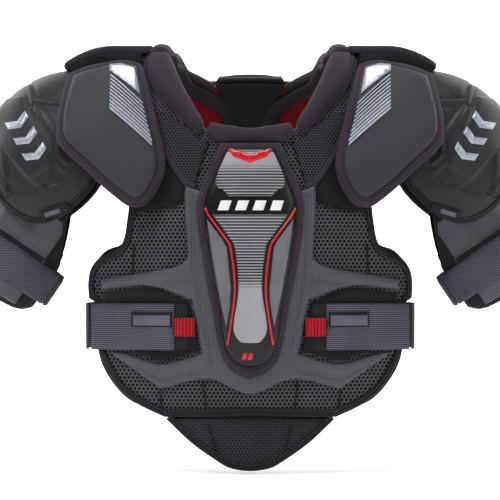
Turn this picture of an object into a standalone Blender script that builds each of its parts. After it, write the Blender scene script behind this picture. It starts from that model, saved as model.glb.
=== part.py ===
"""Hockey shoulder pads, modelled as the separate pieces that are sewn, riveted and strapped together.

+Z is up and the wearer faces -Y. Sizes here count up from the tip of the belly pad, and the finished assembly
is lowered so that the origin lies between the shoulders. The trunk is one draped surface: t runs up the front,
over the shoulder and down the back, and every trunk piece is a flat pattern laid on it at its own height.
Run it with blender --background --python part.py.
"""

import math

import bmesh
import bpy
from mathutils import Vector

# ---------------------------------------------------------------- Driving dimensions, in metres

CHEST_HALF_WIDTH = 0.176
SHOULDER_TOP = 0.452  # top of the trunk padding
DRAFT_HALF_WIDTH = 176  # patterns are drafted in millimetres at this half width and height, then graded
DRAFT_HEIGHT = 452
SPRING = 0.250  # height at which the chest and back start to arch over the shoulder
FRONT_DEPTH = 0.125  # chest face in front of the shoulder line, at the centre
BACK_DEPTH = 0.115
SIDE_SETBACK = 0.065  # how far the sides curve away from the centre
WAIST_TAPER = 0.32  # how quickly the walls lean in below SPRING, per metre
SHOULDER_SLOPE = 7.0  # how quickly the shoulder line falls outside SHOULDER_FLAT
SHOULDER_FLAT = CHEST_HALF_WIDTH - 0.026  # how far out the shoulder line stays level

LINER = 0.010  # quilted padding of the chest and back
LAYER_GAP = 0.0012  # air between two layers of curved panels
SIDE_GAP = 0.0015  # air between two panels that meet edge to edge
SHELL = 0.005  # moulded foam shell
NEOPRENE = 0.003
PLATE = 0.003
TRIM = 0.0015
EMBLEM = 0.0008
COLLAR = 0.010

STRAP_WIDTH = 0.050
STRAP = 0.0025
STRAP_HEIGHT = 155 / DRAFT_HEIGHT * SHOULDER_TOP  # middle of the side strap, graded with its window
STRAP_SWELL = 0.020  # how far the elastic bows out over the ribs before it lands on the back
STRAP_REACH = 76 / DRAFT_HALF_WIDTH * CHEST_HALF_WIDTH  # from the centre line to the sewn end of the elastic
STRAP_SETBACK = 0.005  # from the chest's side edge in to the side strap's peeling line
PULL_TAB_WIDTH = 0.020
PULL_TAB_LENGTH = 0.018

FLAP_LIFT = 0.004  # how much higher than the trunk the flaps and shoulder bridges sit
FLAP_PAD = 0.006
SEAM_ANGLE = 76.5  # where front meets back, in degrees up the arch

CAP_HALF_WIDTH = 0.106
CAP_HALF_DEPTH = 0.092
CAP_HEIGHT = 0.113
CAP_SHELL = 0.003
CAP_PAD = 0.004
CAP_GAP = 0.0015  # air between the cap's pad and its shell
CAP_CLEARANCE = 0.005
CAP_LOBE = 0.052  # how far the front and rear lobes hang below the cap's widest line
CAP_LOBE_AZIMUTH = 23  # where the front lobe hangs lowest, in degrees out from the front
CAP_LOBE_SPREAD = 38
CAP_INNER_REACH = 0.040  # how far the cap reaches inwards from its centre, under the bridge
SHOULDER_REACH = 0.016  # cap centre, outside the chest's side

ARM_SPLAY = math.radians(34)
SLEEVE_HALF_WIDTH = 0.050
SLEEVE_HALF_DEPTH = 0.053
SLEEVE_PAD = 0.004
SLEEVE_TOP = 0.056  # distances down the arm from the shoulder joint
SLEEVE_LENGTH = 0.124
SLEEVE_OPENING = 118  # turn, in degrees from the outside, at which the sleeve's top edge starts to fall away
SLEEVE_WRAP = 160  # turn at which the sleeve ends on the inside of the arm
SLEEVE_PIVOT = 0.072
ARM_BAND_START = 0.120
ARM_BAND_WIDTH = 0.038
ARM_BAND = 0.002

CELL = 0.026  # size of the facets

ARCH = SHOULDER_TOP - SPRING
OVER_TOP = SPRING + ARCH * math.pi / 2
BACK_SPRING = SPRING + ARCH * math.pi
CAP_X = CHEST_HALF_WIDTH + SHOULDER_REACH
BRIDGE_END = CAP_X + 0.010
# The flaps arch clear of the caps: the taller the arch is next to the cap, the deeper it has to be.
SHOULDER_DEPTH = max((CAP_HALF_DEPTH + CAP_SHELL) * math.sqrt(ARCH / CAP_HEIGHT) * 0.945, FRONT_DEPTH - 0.009)

BODIES = {}


# ---------------------------------------------------------------- Scene, bodies and materials


def clear_scene():
    for obj in list(bpy.data.objects):
        bpy.data.objects.remove(obj, do_unlink=True)


def new_collection(name):
    collection = bpy.data.collections.new(name)
    bpy.context.scene.collection.children.link(collection)
    return collection


def material(name, colour, roughness, metallic=0.0):
    found = bpy.data.materials.get(name)
    if found:
        return found
    made = bpy.data.materials.new(name)
    made.use_nodes = True
    shader = made.node_tree.nodes["Principled BSDF"]
    shader.inputs["Base Color"].default_value = (*colour, 1.0)
    shader.inputs["Roughness"].default_value = roughness
    shader.inputs["Metallic"].default_value = metallic
    return made


MESH_BLACK = ("mesh_black", (0.020, 0.021, 0.022), 0.85)
NEOPRENE_BLACK = ("neoprene_black", (0.028, 0.023, 0.028), 0.80)
FOAM_GREY = ("foam_grey", (0.055, 0.060, 0.062), 0.60)
PLATE_GREY = ("plate_grey", (0.065, 0.067, 0.072), 0.50)
CAP_GREY = ("cap_grey", (0.040, 0.044, 0.048), 0.45)
INLAY_SILVER = ("inlay_silver", (0.330, 0.330, 0.335), 0.50)
FOIL_SILVER = ("foil_silver", (0.640, 0.650, 0.660), 0.30)
TRIM_RED = ("trim_red", (0.550, 0.010, 0.014), 0.45)
LINER_RED = ("liner_red", (0.380, 0.006, 0.010), 0.80)
ELASTIC_GREY = ("elastic_grey", (0.130, 0.125, 0.150), 0.85)
LOOP_BLACK = ("loop_black", (0.018, 0.018, 0.018), 0.95)
HOOK_GREY = ("hook_grey", (0.110, 0.110, 0.115), 0.70)


def add_body(name, pivot, parent=None):
    """An empty on the joint's axis. The pieces of that body are its children."""
    empty = bpy.data.objects.new("body_" + name, None)
    empty.empty_display_size = 0.02
    PADS.objects.link(empty)
    pivot = Vector(pivot)
    if parent:
        empty.parent = BODIES[parent][0]
        empty.location = pivot - BODIES[parent][1]
    else:
        empty.location = pivot
    BODIES[name] = (empty, pivot)


def finish(name, bm, body, look, mirrored=False):
    """Turns the bmesh, drawn in world coordinates, into a node that hangs on its body's pivot."""
    empty, pivot = BODIES[body]
    if mirrored:
        bmesh.ops.scale(bm, vec=(-1, 1, 1), verts=bm.verts)
        bmesh.ops.reverse_faces(bm, faces=bm.faces)
    bmesh.ops.translate(bm, vec=-pivot, verts=bm.verts)
    mesh = bpy.data.meshes.new(name)
    bm.to_mesh(mesh)
    bm.free()
    mesh.shade_smooth()
    mesh.materials.append(material(*look))
    obj = bpy.data.objects.new(name, mesh)
    PADS.objects.link(obj)
    obj.parent = empty
    return obj


def thicken(obj, thickness):
    solid = obj.modifiers.new("Thickness", "SOLIDIFY")
    solid.thickness = thickness
    solid.offset = 1.0
    solid.use_even_offset = True


# ---------------------------------------------------------------- The draped trunk surface


def shoulder_line(x):
    fall = max(abs(x) - SHOULDER_FLAT, 0.0)
    return SHOULDER_TOP - SHOULDER_SLOPE * fall**2


def trunk_base(x, t):
    """The trunk at t along the front, shoulder and back."""
    setback = SIDE_SETBACK * (x / CHEST_HALF_WIDTH) ** 2
    over = (t - SPRING) / ARCH
    if over < 0:
        drop = SPRING - t
        return Vector((x, setback - FRONT_DEPTH + WAIST_TAPER * drop**2, t))
    if over > math.pi:
        drop = t - BACK_SPRING
        return Vector((x, BACK_DEPTH - setback - WAIST_TAPER * drop**2, SPRING - drop))
    depth = FRONT_DEPTH if over < math.pi / 2 else BACK_DEPTH
    rise = shoulder_line(x) - SPRING
    return Vector((x, (setback - depth) * math.cos(over), SPRING + rise * math.sin(over)))


def shoulder_base(x, t):
    """The flatter surface that the flaps and bridges make over the caps."""
    over = (t - SPRING) / ARCH
    rise = shoulder_line(x) + FLAP_LIFT - SPRING
    return Vector((x, -SHOULDER_DEPTH * math.cos(over), SPRING + rise * math.sin(over)))


def offset_point(base, u, v, height):
    """The point of the surface base(u, v), moved out along its normal by height."""
    step = 0.0005
    along_u = base(u + step, v) - base(u - step, v)
    along_v = base(u, v + step) - base(u, v - step)
    return base(u, v) + along_u.cross(along_v).normalized() * height


def front(x, z):
    """A drafted point of the front, in millimetres, graded and laid out as x and t."""
    x = x / DRAFT_HALF_WIDTH * CHEST_HALF_WIDTH
    z = z / DRAFT_HEIGHT * SHOULDER_TOP
    return (x, front_t(x, z))


def front_t(x, z):
    if z <= SPRING:
        return z
    rise = shoulder_line(x) - SPRING
    return SPRING + ARCH * math.asin(min((z - SPRING) / rise, 0.999))


def rear(x, z):
    x, t = front(x, z)
    return (x, 2 * OVER_TOP - t)


def arch(x, degrees):
    """A drafted point on the arch over the shoulder, by its angle up from the front."""
    return (x / DRAFT_HALF_WIDTH * CHEST_HALF_WIDTH, SPRING + ARCH * math.radians(degrees))


def whole(points):
    """Closes a right-hand half outline, which starts and ends on the centre line, with its mirror image."""
    return points + [(-x, t) for x, t in reversed(points) if x > 1e-6]


# ---------------------------------------------------------------- Panels


def cut_into_cells(bm, low, high, axis, step):
    """Cuts the flat pattern on the same lines as every other pattern, so that layers stay parallel."""
    normal = Vector((1, 0, 0)) if axis == 0 else Vector((0, 1, 0))
    for index in range(math.ceil(low / step), math.floor(high / step) + 1):
        geometry = bm.verts[:] + bm.edges[:] + bm.faces[:]
        bmesh.ops.bisect_plane(bm, geom=geometry, dist=1e-5, plane_co=normal * index * step, plane_no=normal)


def pattern(outline, cell=CELL):
    """The flat pattern of an outline in x and t, cut into cells, its face towards +Z."""
    bm = bmesh.new()
    bm.faces.new([bm.verts.new((x, t, 0)) for x, t in outline])
    for axis in (0, 1):
        values = [point[axis] for point in outline]
        cut_into_cells(bm, min(values), max(values), axis, cell)
    bmesh.ops.remove_doubles(bm, verts=bm.verts, dist=0.0006)
    bm.normal_update()
    if sum(face.normal.z * face.calc_area() for face in bm.faces) < 0:
        bmesh.ops.reverse_faces(bm, faces=bm.faces)
    return bm


def panel(name, outline, height, thickness, body, look, base=trunk_base, mirrored=False, cell=CELL):
    """A pattern laid on a surface at a height above it, with a thickness that grows outwards."""
    bm = pattern(outline, cell)
    for vert in bm.verts:
        vert.co = offset_point(base, vert.co.x, vert.co.y, height)
    obj = finish(name, bm, body, look, mirrored)
    thicken(obj, thickness)
    return obj


def ribbon(name, rows, thickness, body, look, mirrored=False):
    """A strip through equal rows of points. Its face is on the left of the way it runs, seen from above."""
    bm = bmesh.new()
    count = len(rows[0])
    bmesh.ops.create_grid(bm, x_segments=len(rows) - 1, y_segments=count - 1, size=0.5)
    bm.verts.ensure_lookup_table()
    verts = sorted(bm.verts, key=lambda vert: (round(vert.co.x, 4), vert.co.y))
    for index, vert in enumerate(verts):
        vert.co = rows[index // count][index % count]
    obj = finish(name, bm, body, look, mirrored)
    thicken(obj, thickness)
    return obj


def pair(make):
    """Makes a piece for each side. The drafts are drawn for the wearer's left, at +X."""
    make("left", False)
    make("right", True)


# ---------------------------------------------------------------- Chest

SHELL_HEIGHT = LAYER_GAP
FRAME_HEIGHT = SHELL_HEIGHT + SHELL + LAYER_GAP
STERNUM_HEIGHT = FRAME_HEIGHT + NEOPRENE + LAYER_GAP
CHEVRON_HEIGHT = STERNUM_HEIGHT + PLATE + LAYER_GAP
TAPE_HEIGHT = LAYER_GAP
STRAP_FACE = TAPE_HEIGHT + TRIM + 2 * LAYER_GAP

NECK_EDGE = [(0, 362), (24, 364), (44, 368)]
ARMHOLE = [(118, 340), (128, 305), (132, 272), (137, 246), (146, 236), (161, 230), (172, 218), (175.5, 203)]
HEM = [(175, 186), (169, 182), (168, 155), (165, 131), (164, 127), (156, 110), (142, 88), (122, 72), (92, 58)]
HEM += [(46, 59), (0, 60)]


def chest():
    liner = [front(x, z) for x, z in NECK_EDGE]
    liner += [front(60, 385), front(74, 418), arch(88, SEAM_ANGLE - 1), arch(116, SEAM_ANGLE - 1)]
    liner += [front(x, z) for x, z in ARMHOLE + HEM]
    panel("chest_liner", whole(liner), -LINER, LINER, "chest", MESH_BLACK)

    room = 1000 * (STRAP_WIDTH / 2 - 0.025)  # the window round the side strap grows with the strap
    shell = [(0, 296), (50, 300), (69, 306), (70, 295), (66, 229), (78, 220 + room), (154, 207 + room)]
    shell += [(159.5, 204 + room), (160, 194.5 + room), (107, 199 + room), (62, 184 + room), (51, 126 - room)]
    shell += [(95, 115 - room), (136, 126 - room), (151, 127 - room), (95, 88 - room), (45, 99 - room), (0, 83)]
    panel("moulded_shell", whole([front(*p) for p in shell]), SHELL_HEIGHT, SHELL, "chest", FOAM_GREY)

    frame = [(0, 350), (31, 350), (46, 316), (56, 286), (50, 229), (40, 175), (30, 124), (19, 108), (0, 99)]
    panel("sternum_frame", whole([front(*p) for p in frame]), FRAME_HEIGHT, NEOPRENE, "chest", NEOPRENE_BLACK)

    plate = [(0, 342), (25, 342), (38, 312), (47, 284), (41, 229), (32, 180), (25, 134), (16, 119), (0, 113)]
    panel("sternum_plate", whole([front(*p) for p in plate]), STERNUM_HEIGHT, PLATE, "chest", INLAY_SILVER)

    chevron = [(0, 340), (21, 341), (18, 335), (0, 327)]
    panel("sternum_chevron", whole([front(*p) for p in chevron]), CHEVRON_HEIGHT, TRIM, "chest", TRIM_RED)

    bib = [(0, 367), (24, 370), (42, 373), (48, 362), (32, 352.5), (0, 352.5)]
    panel("collar_bib", whole([front(*p) for p in bib]), LAYER_GAP, COLLAR, "chest", NEOPRENE_BLACK)

    hem = [(92, 58), (46, 59), (0, 60), (0, 69), (46, 68), (90, 67.5)]
    hem_outline = [front(*p) for p in hem[:3]] + [(-x, t) for x, t in [front(*p) for p in hem[:2]][::-1]]
    hem_outline += [(-x, t) for x, t in [front(*p) for p in hem[3:][::-1]]] + [front(*p) for p in hem[4:]]
    hem_outline = list(dict.fromkeys(hem_outline))
    panel("hem_binding", hem_outline, TAPE_HEIGHT, TRIM, "chest", NEOPRENE_BLACK)
    pair(chest_side_pieces)


def chest_side_pieces(side, mirrored):
    mesh = [(44, 352), (57, 360), (70, 372), (92, 386), (106, 384), (91, 342), (68, 309), (58, 309)]
    panel("clavicle_mesh_" + side, [front(*p) for p in mesh], LAYER_GAP, TRIM, "chest", MESH_BLACK,
          mirrored=mirrored)

    landing = [(159, 190.5), (107, 196.5), (65, 181), (54.5, 129.5), (95, 119), (134, 130), (153, 132)]
    landing += [(158, 152)]
    panel("strap_landing_" + side, [front(*p) for p in landing], TAPE_HEIGHT, TRIM, "chest", LOOP_BLACK,
          mirrored=mirrored)

    wing = [front(51, 363), front(50, 374), front(60, 391), front(75, 419), arch(88, SEAM_ANGLE - 1)]
    wing += [arch(111, SEAM_ANGLE - 1), front(103, 414), front(78, 387), front(58, 367)]
    panel("collar_wing_front_" + side, wing, LAYER_GAP, COLLAR, "chest", NEOPRENE_BLACK, mirrored=mirrored)

    edge = ARMHOLE[1:] + HEM[:8] + [(95, 59)]
    inner = [(93, 67.5), (117, 80.5), (135, 94.5), (149, 115), (156, 131), (160, 151), (161, 182), (162, 200)]
    inner += [(161, 213), (155, 220), (142, 227), (129, 239), (124, 270), (120, 302)]
    tape = [front(*p) for p in edge + inner]
    panel("side_binding_" + side, tape, TAPE_HEIGHT, TRIM, "chest", NEOPRENE_BLACK, mirrored=mirrored)


def belly_pad():
    top = trunk_base(0, SHOULDER_TOP * 58 / DRAFT_HEIGHT)
    outline = [(0, 57), (46, 56), (90, 55), (63, 30), (36, 11), (22, 3.3), (0, 0)]
    add_body("belly", (0, top.y - LAYER_GAP - TRIM, top.z - SIDE_GAP), "chest")
    panel("belly_pad", whole([front(*p) for p in outline]), -LINER, LINER, "belly", MESH_BLACK)


# ---------------------------------------------------------------- Side straps


def strap_end():
    """How far from the centre line the side strap turns the corner of the chest."""
    return CHEST_HALF_WIDTH - STRAP_SETBACK


def strap_patch(inner, outer, half_width):
    """A rectangle of the side strap, by its two ends' distance from the centre line."""
    low = STRAP_HEIGHT - half_width
    high = STRAP_HEIGHT + half_width
    return [(inner, low), (outer, low), (outer, high), (inner, high)]


def side_strap(side, mirrored):
    sign = -1 if mirrored else 1
    hinge = offset_point(trunk_base, strap_end(), STRAP_HEIGHT, STRAP_FACE + STRAP / 2)
    body = "strap_" + side
    add_body(body, (sign * hinge.x, hinge.y, hinge.z), "chest")
    end = STRAP_REACH + 0.004
    elastic = strap_patch(end, strap_end() - SIDE_GAP, STRAP_WIDTH / 2)
    panel("strap_elastic_" + side, elastic, STRAP_FACE, STRAP, body, ELASTIC_GREY, mirrored=mirrored)

    tongue = strap_patch(STRAP_REACH - PULL_TAB_LENGTH, end - SIDE_GAP, PULL_TAB_WIDTH / 2)
    panel("pull_tab_" + side, tongue, STRAP_FACE + LAYER_GAP, STRAP, body, TRIM_RED, mirrored=mirrored)

    hook = strap_patch(STRAP_REACH - 0.010, end + 0.030, STRAP_WIDTH / 2)
    hook_height = STRAP_FACE - LAYER_GAP - 0.0007
    panel("hook_tab_" + side, hook, hook_height, 0.0007, body, HOOK_GREY, mirrored=mirrored)


def elastic_path(z):
    """The way of the side elastic at height z: round the ribs, then flat on the back."""
    start = offset_point(trunk_base, strap_end(), z, STRAP_FACE)
    start += Vector((LAYER_GAP, SIDE_GAP + STRAP, 0))
    on_back = CHEST_HALF_WIDTH * 0.90
    landing = [offset_point(trunk_base, on_back - CELL * step, 2 * OVER_TOP - z, 2.4 * LAYER_GAP)
               for step in range(3)]
    swell = Vector((STRAP_SWELL, 0, 0))
    curve = [start, start + Vector((0, 0.030, 0)) + swell / 4, landing[0] + swell, landing[0]]
    path = []
    for index in range(9):
        s = index / 9
        weights = ((1 - s) ** 3, 3 * s * (1 - s) ** 2, 3 * s**2 * (1 - s), s**3)
        path.append(sum((point * weight for point, weight in zip(curve, weights)), Vector()))
    return path + landing


def side_elastic(side, mirrored):
    """The rear half of the side strap: it is sewn to the back and runs round the ribs."""
    half = STRAP_WIDTH / 2
    paths = [elastic_path(z) for z in (STRAP_HEIGHT - half, STRAP_HEIGHT, STRAP_HEIGHT + half)]
    ribbon("side_elastic_" + side, list(zip(*paths)), STRAP, "back", ELASTIC_GREY, mirrored)


# ---------------------------------------------------------------- Back


def flat_back(x, t):
    """The upright plane through the hindmost line of the back."""
    return Vector((x, BACK_DEPTH, SPRING - (t - BACK_SPRING)))


def back():
    pair(back_side_pieces)
    segments = {"upper": (392, 303, trunk_base), "middle": (300, 201, flat_back), "lower": (198, 78, trunk_base)}
    for name, (top, bottom, base) in segments.items():
        wide = 36 if name == "upper" else 30
        outline = [(0, top), (wide - 8, top), (wide, top - 10), (wide - 6, bottom + 8), (wide - 14, bottom)]
        outline += [(0, bottom)]
        panel("spine_plate_" + name, whole([rear(*p) for p in outline]), LAYER_GAP, SHELL, "back", FOAM_GREY, base)
    channel = [(0, 425), (24, 425), (16, 380), (14, 330), (14, 80), (0, 80)]
    panel("spine_channel", whole([rear(*p) for p in channel]), -LINER - LAYER_GAP - TRIM, TRIM, "back",
          LOOP_BLACK)


def back_side_pieces(side, mirrored):
    liner = [(0.5, 425), (24, 425), (45, 423), (75, 438)]
    outline = [rear(*p) for p in liner] + [arch(89, SEAM_ANGLE + 1), arch(116, SEAM_ANGLE + 1)]
    outline += [rear(x, z) for x, z in ARMHOLE[:-1]]
    outline += [rear(*p) for p in [(168, 195), (160, 100), (130, 74), (70, 60), (0.5, 60)]]
    panel("back_liner_" + side, outline, -LINER, LINER, "back", LINER_RED, mirrored=mirrored)

    wing = [rear(8, 424), rear(45, 421), rear(75, 437), arch(89, SEAM_ANGLE + 1), arch(111, SEAM_ANGLE + 1)]
    wing += [rear(100, 424), rear(80, 406), rear(45, 396), rear(8, 396)]
    panel("collar_wing_back_" + side, wing, LAYER_GAP, COLLAR, "back", NEOPRENE_BLACK, mirrored=mirrored)

    scapula = [(38, 390), (78, 400), (100, 392), (114, 340), (122, 300), (110, 262), (60, 240), (34, 262)]
    panel("scapula_pad_" + side, [rear(*p) for p in scapula], LAYER_GAP, SHELL, "back", FOAM_GREY,
          mirrored=mirrored)

    kidney = [(32, 225), (60, 232), (98, 236), (102, 190), (98, 110), (78, 78), (34, 74)]
    panel("kidney_pad_" + side, [rear(*p) for p in kidney], LAYER_GAP, SHELL, "back", FOAM_GREY,
          mirrored=mirrored)


def shoulder_bridge(side, mirrored):
    """The ribbed band that joins chest, back and shoulder cap over the top of the shoulder."""
    end = BRIDGE_END / CHEST_HALF_WIDTH * DRAFT_HALF_WIDTH
    outline = [arch(116, 79), arch(end - 6, 79), arch(end, 84), arch(end, 100), arch(end - 16, 118), arch(122, 124)]
    panel("shoulder_bridge_" + side, outline, 0, FLAP_PAD, "back", ELASTIC_GREY, shoulder_base, mirrored)


# ---------------------------------------------------------------- Clavicle flaps


def clavicle_flap(side, mirrored):
    sign = -1 if mirrored else 1
    body = "clavicle_flap_" + side
    hinge = shoulder_base(*arch(160, SEAM_ANGLE - 1))
    add_body(body, (sign * hinge.x, hinge.y, hinge.z), "chest")
    pad = [(118, 437), (138, 441), (160, 438), (198, 425), (204, 402), (209, 375), (206, 350), (168, 314)]
    pad += [(136, 287), (125, 283), (113, 285.5), (102, 298), (93, 318), (92, 337), (100, 370), (111, 414)]
    outline = [flap_point(*p) for p in pad]
    panel("clavicle_pad_" + side, outline, 0, FLAP_PAD, body, NEOPRENE_BLACK, shoulder_base, mirrored)

    plate = [(124, 431), (139, 434), (160, 430), (190, 420), (196, 398), (200, 376), (197, 354), (163, 322)]
    plate += [(134, 298), (125, 293), (117, 295), (110, 303), (102, 320), (101, 337), (109, 368), (119, 412)]
    outline = [flap_point(*p) for p in plate]
    plate_height = FLAP_PAD + LAYER_GAP
    panel("clavicle_plate_" + side, outline, plate_height, PLATE, body, PLATE_GREY, shoulder_base, mirrored)

    foil = [(155, 430), (140, 430), (125, 425), (121, 408), (116, 378), (108, 348), (148, 383), (151, 420)]
    outline = [flap_point(*p) for p in foil]
    foil_height = plate_height + PLATE + LAYER_GAP
    panel("clavicle_foil_" + side, outline, foil_height, 0.0008, body, FOIL_SILVER, shoulder_base, mirrored)


def flap_point(x, z):
    """A drafted point of the flap, by its place in the front view."""
    x = x / DRAFT_HALF_WIDTH * CHEST_HALF_WIDTH
    z = z / DRAFT_HEIGHT * SHOULDER_TOP
    rise = shoulder_line(x) + FLAP_LIFT - SPRING
    return (x, SPRING + ARCH * math.asin(min((z - SPRING) / rise, 0.999)))


# ---------------------------------------------------------------- Shoulder caps


def cap_centre():
    underside = shoulder_line(BRIDGE_END) + FLAP_LIFT
    return Vector((CAP_X, 0, underside - CAP_CLEARANCE - CAP_HEIGHT))


def cap_rim(azimuth):
    """Angle from the cap's top down to its edge, for an azimuth in degrees from the front, outwards."""
    from_front = azimuth if azimuth <= 90 else 180 - azimuth
    from_lobe = min(abs(from_front - CAP_LOBE_AZIMUTH) / CAP_LOBE_SPREAD, 1.0)
    drop = CAP_LOBE * math.cos(from_lobe * math.pi / 2) ** 0.7
    rim = math.acos(-min(drop / CAP_HEIGHT, 0.9))
    inward = -math.sin(math.radians(azimuth))
    if inward > 0.05:
        reach = CAP_INNER_REACH / (CAP_HALF_WIDTH * inward)
        if reach < 1:
            rim = min(rim, math.asin(reach))
    return rim


def cap_point(azimuth, polar, height):
    direction = Vector((math.sin(azimuth) * math.sin(polar), -math.cos(azimuth) * math.sin(polar),
                        math.cos(polar)))
    sizes = Vector((CAP_HALF_WIDTH, CAP_HALF_DEPTH, CAP_HEIGHT))
    normal = Vector([value / size for value, size in zip(direction, sizes)]).normalized()
    return cap_centre() + direction * sizes + normal * height


def cap_dome(name, height, thickness, body, look, mirrored):
    """A dome from the cap's top down to its rim."""
    bm = bmesh.new()
    rings = 6
    bmesh.ops.create_uvsphere(bm, u_segments=30, v_segments=2 * rings, radius=1)
    below = [vert for vert in bm.verts if vert.co.z < -0.01]
    bmesh.ops.delete(bm, geom=below, context="VERTS")
    for vert in bm.verts:
        share = math.acos(min(vert.co.z, 1.0)) / (math.pi / 2)
        azimuth = math.degrees(math.atan2(vert.co.x, -vert.co.y))
        if azimuth < -90:
            azimuth += 360
        rim = cap_rim(azimuth)
        vert.co = cap_point(math.radians(azimuth), rim * share, height)
    obj = finish(name, bm, body, look, mirrored)
    thicken(obj, thickness)
    return obj


def cap_patch(name, outline, height, thickness, body, look, mirrored):
    """A panel on the cap. Its outline is in degrees of azimuth and of polar angle."""
    def base(u, v):
        return cap_point(math.radians(90 + u * 1000), math.radians(90 - v * 1000), 0)

    scaled = [((azimuth - 90) / 1000, (90 - polar) / 1000) for azimuth, polar in outline]
    return panel(name, scaled, height, thickness, body, look, base, mirrored, cell=0.012)


def shoulder_cap(side, mirrored):
    sign = -1 if mirrored else 1
    centre = cap_centre()
    body = "cap_" + side
    add_body(body, (sign * centre.x, 0, centre.z), "back")
    cap_dome("cap_liner_" + side, -CAP_PAD - CAP_GAP, CAP_PAD, body, NEOPRENE_BLACK, mirrored)
    cap_dome("cap_shell_" + side, 0, CAP_SHELL, body, CAP_GREY, mirrored)
    emblem_height = CAP_SHELL + LAYER_GAP
    emblem = [(8, 62), (46, 62), (52, 50), (20, 50)]
    cap_patch("cap_emblem_" + side, emblem, emblem_height, EMBLEM, body, FOIL_SILVER, mirrored)


# ---------------------------------------------------------------- Biceps guards


def arm_axes():
    down = Vector((math.sin(ARM_SPLAY), 0, -math.cos(ARM_SPLAY)))
    out = Vector((math.cos(ARM_SPLAY), 0, math.sin(ARM_SPLAY)))
    return down, out


def shoulder_joint():
    return cap_centre() + Vector((-0.0045, 0, 0.0215))


def sleeve_point(turn, down_arm, height):
    """A point round the arm. turn is in radians: 0 faces out, -90 degrees the front, 90 the back."""
    down, out = arm_axes()
    radial = Vector((math.cos(turn), math.sin(turn)))
    offset = out * radial.x * (SLEEVE_HALF_WIDTH + height)
    offset += Vector((0, 1, 0)) * radial.y * (SLEEVE_HALF_DEPTH + height)
    return shoulder_joint() + down * down_arm + offset


def sleeve_strip(name, turns, tops, bottoms, height, thickness, steps, body, look, mirrored):
    """Part of a sleeve between two turns in degrees. tops and bottoms give its ends at each turn."""
    first, last = turns
    count = max(math.ceil(abs(last - first) / 18), 2)
    rows = []
    for index in range(count + 1):
        turn = first + (last - first) * index / count
        top = tops(turn)
        bottom = bottoms(turn)
        rows.append([sleeve_point(math.radians(turn), bottom + (top - bottom) * step / steps, height)
                     for step in range(steps + 1)])
    return ribbon(name, rows, thickness, body, look, mirrored)


def sleeve_start(turn):
    """The upper edge: level round the outside, then falling away to the arm band on the inside."""
    fall = max(abs(turn) - SLEEVE_OPENING, 0) / (SLEEVE_WRAP - SLEEVE_OPENING)
    return SLEEVE_TOP + (ARM_BAND_START - SLEEVE_TOP) * fall


def sleeve_end(turn):
    """The lower edge: level, then turned up at the inside of the arm."""
    return SLEEVE_TOP + SLEEVE_LENGTH - 0.021 * (abs(turn) / 170) ** 8


def biceps_guard(side, mirrored):
    sign = -1 if mirrored else 1
    down = arm_axes()[0]
    body = "biceps_" + side
    pivot = shoulder_joint() + down * SLEEVE_PIVOT
    add_body(body, (sign * pivot.x, pivot.y, pivot.z), "cap_" + side)
    sleeve_strip("biceps_pad_" + side, (-SLEEVE_WRAP, SLEEVE_WRAP), sleeve_start, sleeve_end, 0, SLEEVE_PAD, 4,
                 body, NEOPRENE_BLACK, mirrored)
    shell_height = SLEEVE_PAD + LAYER_GAP
    sleeve_strip("biceps_shell_" + side, (-126, 126), lambda turn: sleeve_start(turn) + 0.010,
                 lambda turn: sleeve_end(turn) - 0.005, shell_height, PLATE, 4, body, PLATE_GREY, mirrored)
    band_height = shell_height + PLATE + LAYER_GAP
    band_end = ARM_BAND_START + ARM_BAND_WIDTH
    sleeve_strip("biceps_elastic_" + side, (-SLEEVE_WRAP, 0), lambda turn: ARM_BAND_START, lambda turn: band_end,
                 band_height, ARM_BAND, 2, body, ELASTIC_GREY, mirrored)

    strap = "biceps_strap_" + side
    middle = ARM_BAND_START + ARM_BAND_WIDTH / 2
    hinge = sleeve_point(math.radians(-161), middle, band_height + ARM_BAND / 2)
    add_body(strap, (sign * hinge.x, hinge.y, hinge.z), body)
    sleeve_strip("biceps_strap_" + side, (-301, -162), lambda turn: ARM_BAND_START, lambda turn: band_end,
                 band_height, ARM_BAND, 2, strap, ELASTIC_GREY, mirrored)
    sleeve_strip("biceps_hook_tab_" + side, (-318, -302), lambda turn: ARM_BAND_START + 0.005,
                 lambda turn: band_end - 0.005, band_height, ARM_BAND, 2, strap, HOOK_GREY, mirrored)


# ---------------------------------------------------------------- Assembly

clear_scene()
PADS = new_collection("hockey_shoulder_pads")

# The pads hang on the wearer's shoulders, so the model's origin is the middle of the shoulder line.
add_body("back", (0, 0, 0))
BODIES["back"][0].location.z = -SHOULDER_TOP
seam = trunk_base(*arch(100, SEAM_ANGLE))
add_body("chest", (0, seam.y, SHOULDER_TOP + LAYER_GAP + COLLAR + 0.002), "back")
chest()
belly_pad()
pair(side_strap)
pair(side_elastic)
back()
pair(shoulder_bridge)
pair(clavicle_flap)
pair(shoulder_cap)
pair(biceps_guard)
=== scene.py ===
"""Hockey shoulder pads: the finished looks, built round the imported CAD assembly.

Every sewn or moulded piece is cut from a flat pattern and laid on the same surface as its CAD node.
Patterns are drafted in millimetres, x out from the centre line and z up from the tip of the belly pad.
"""

import math

import bmesh
import bpy
import numpy as np
from mathutils import Matrix, Vector


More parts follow.
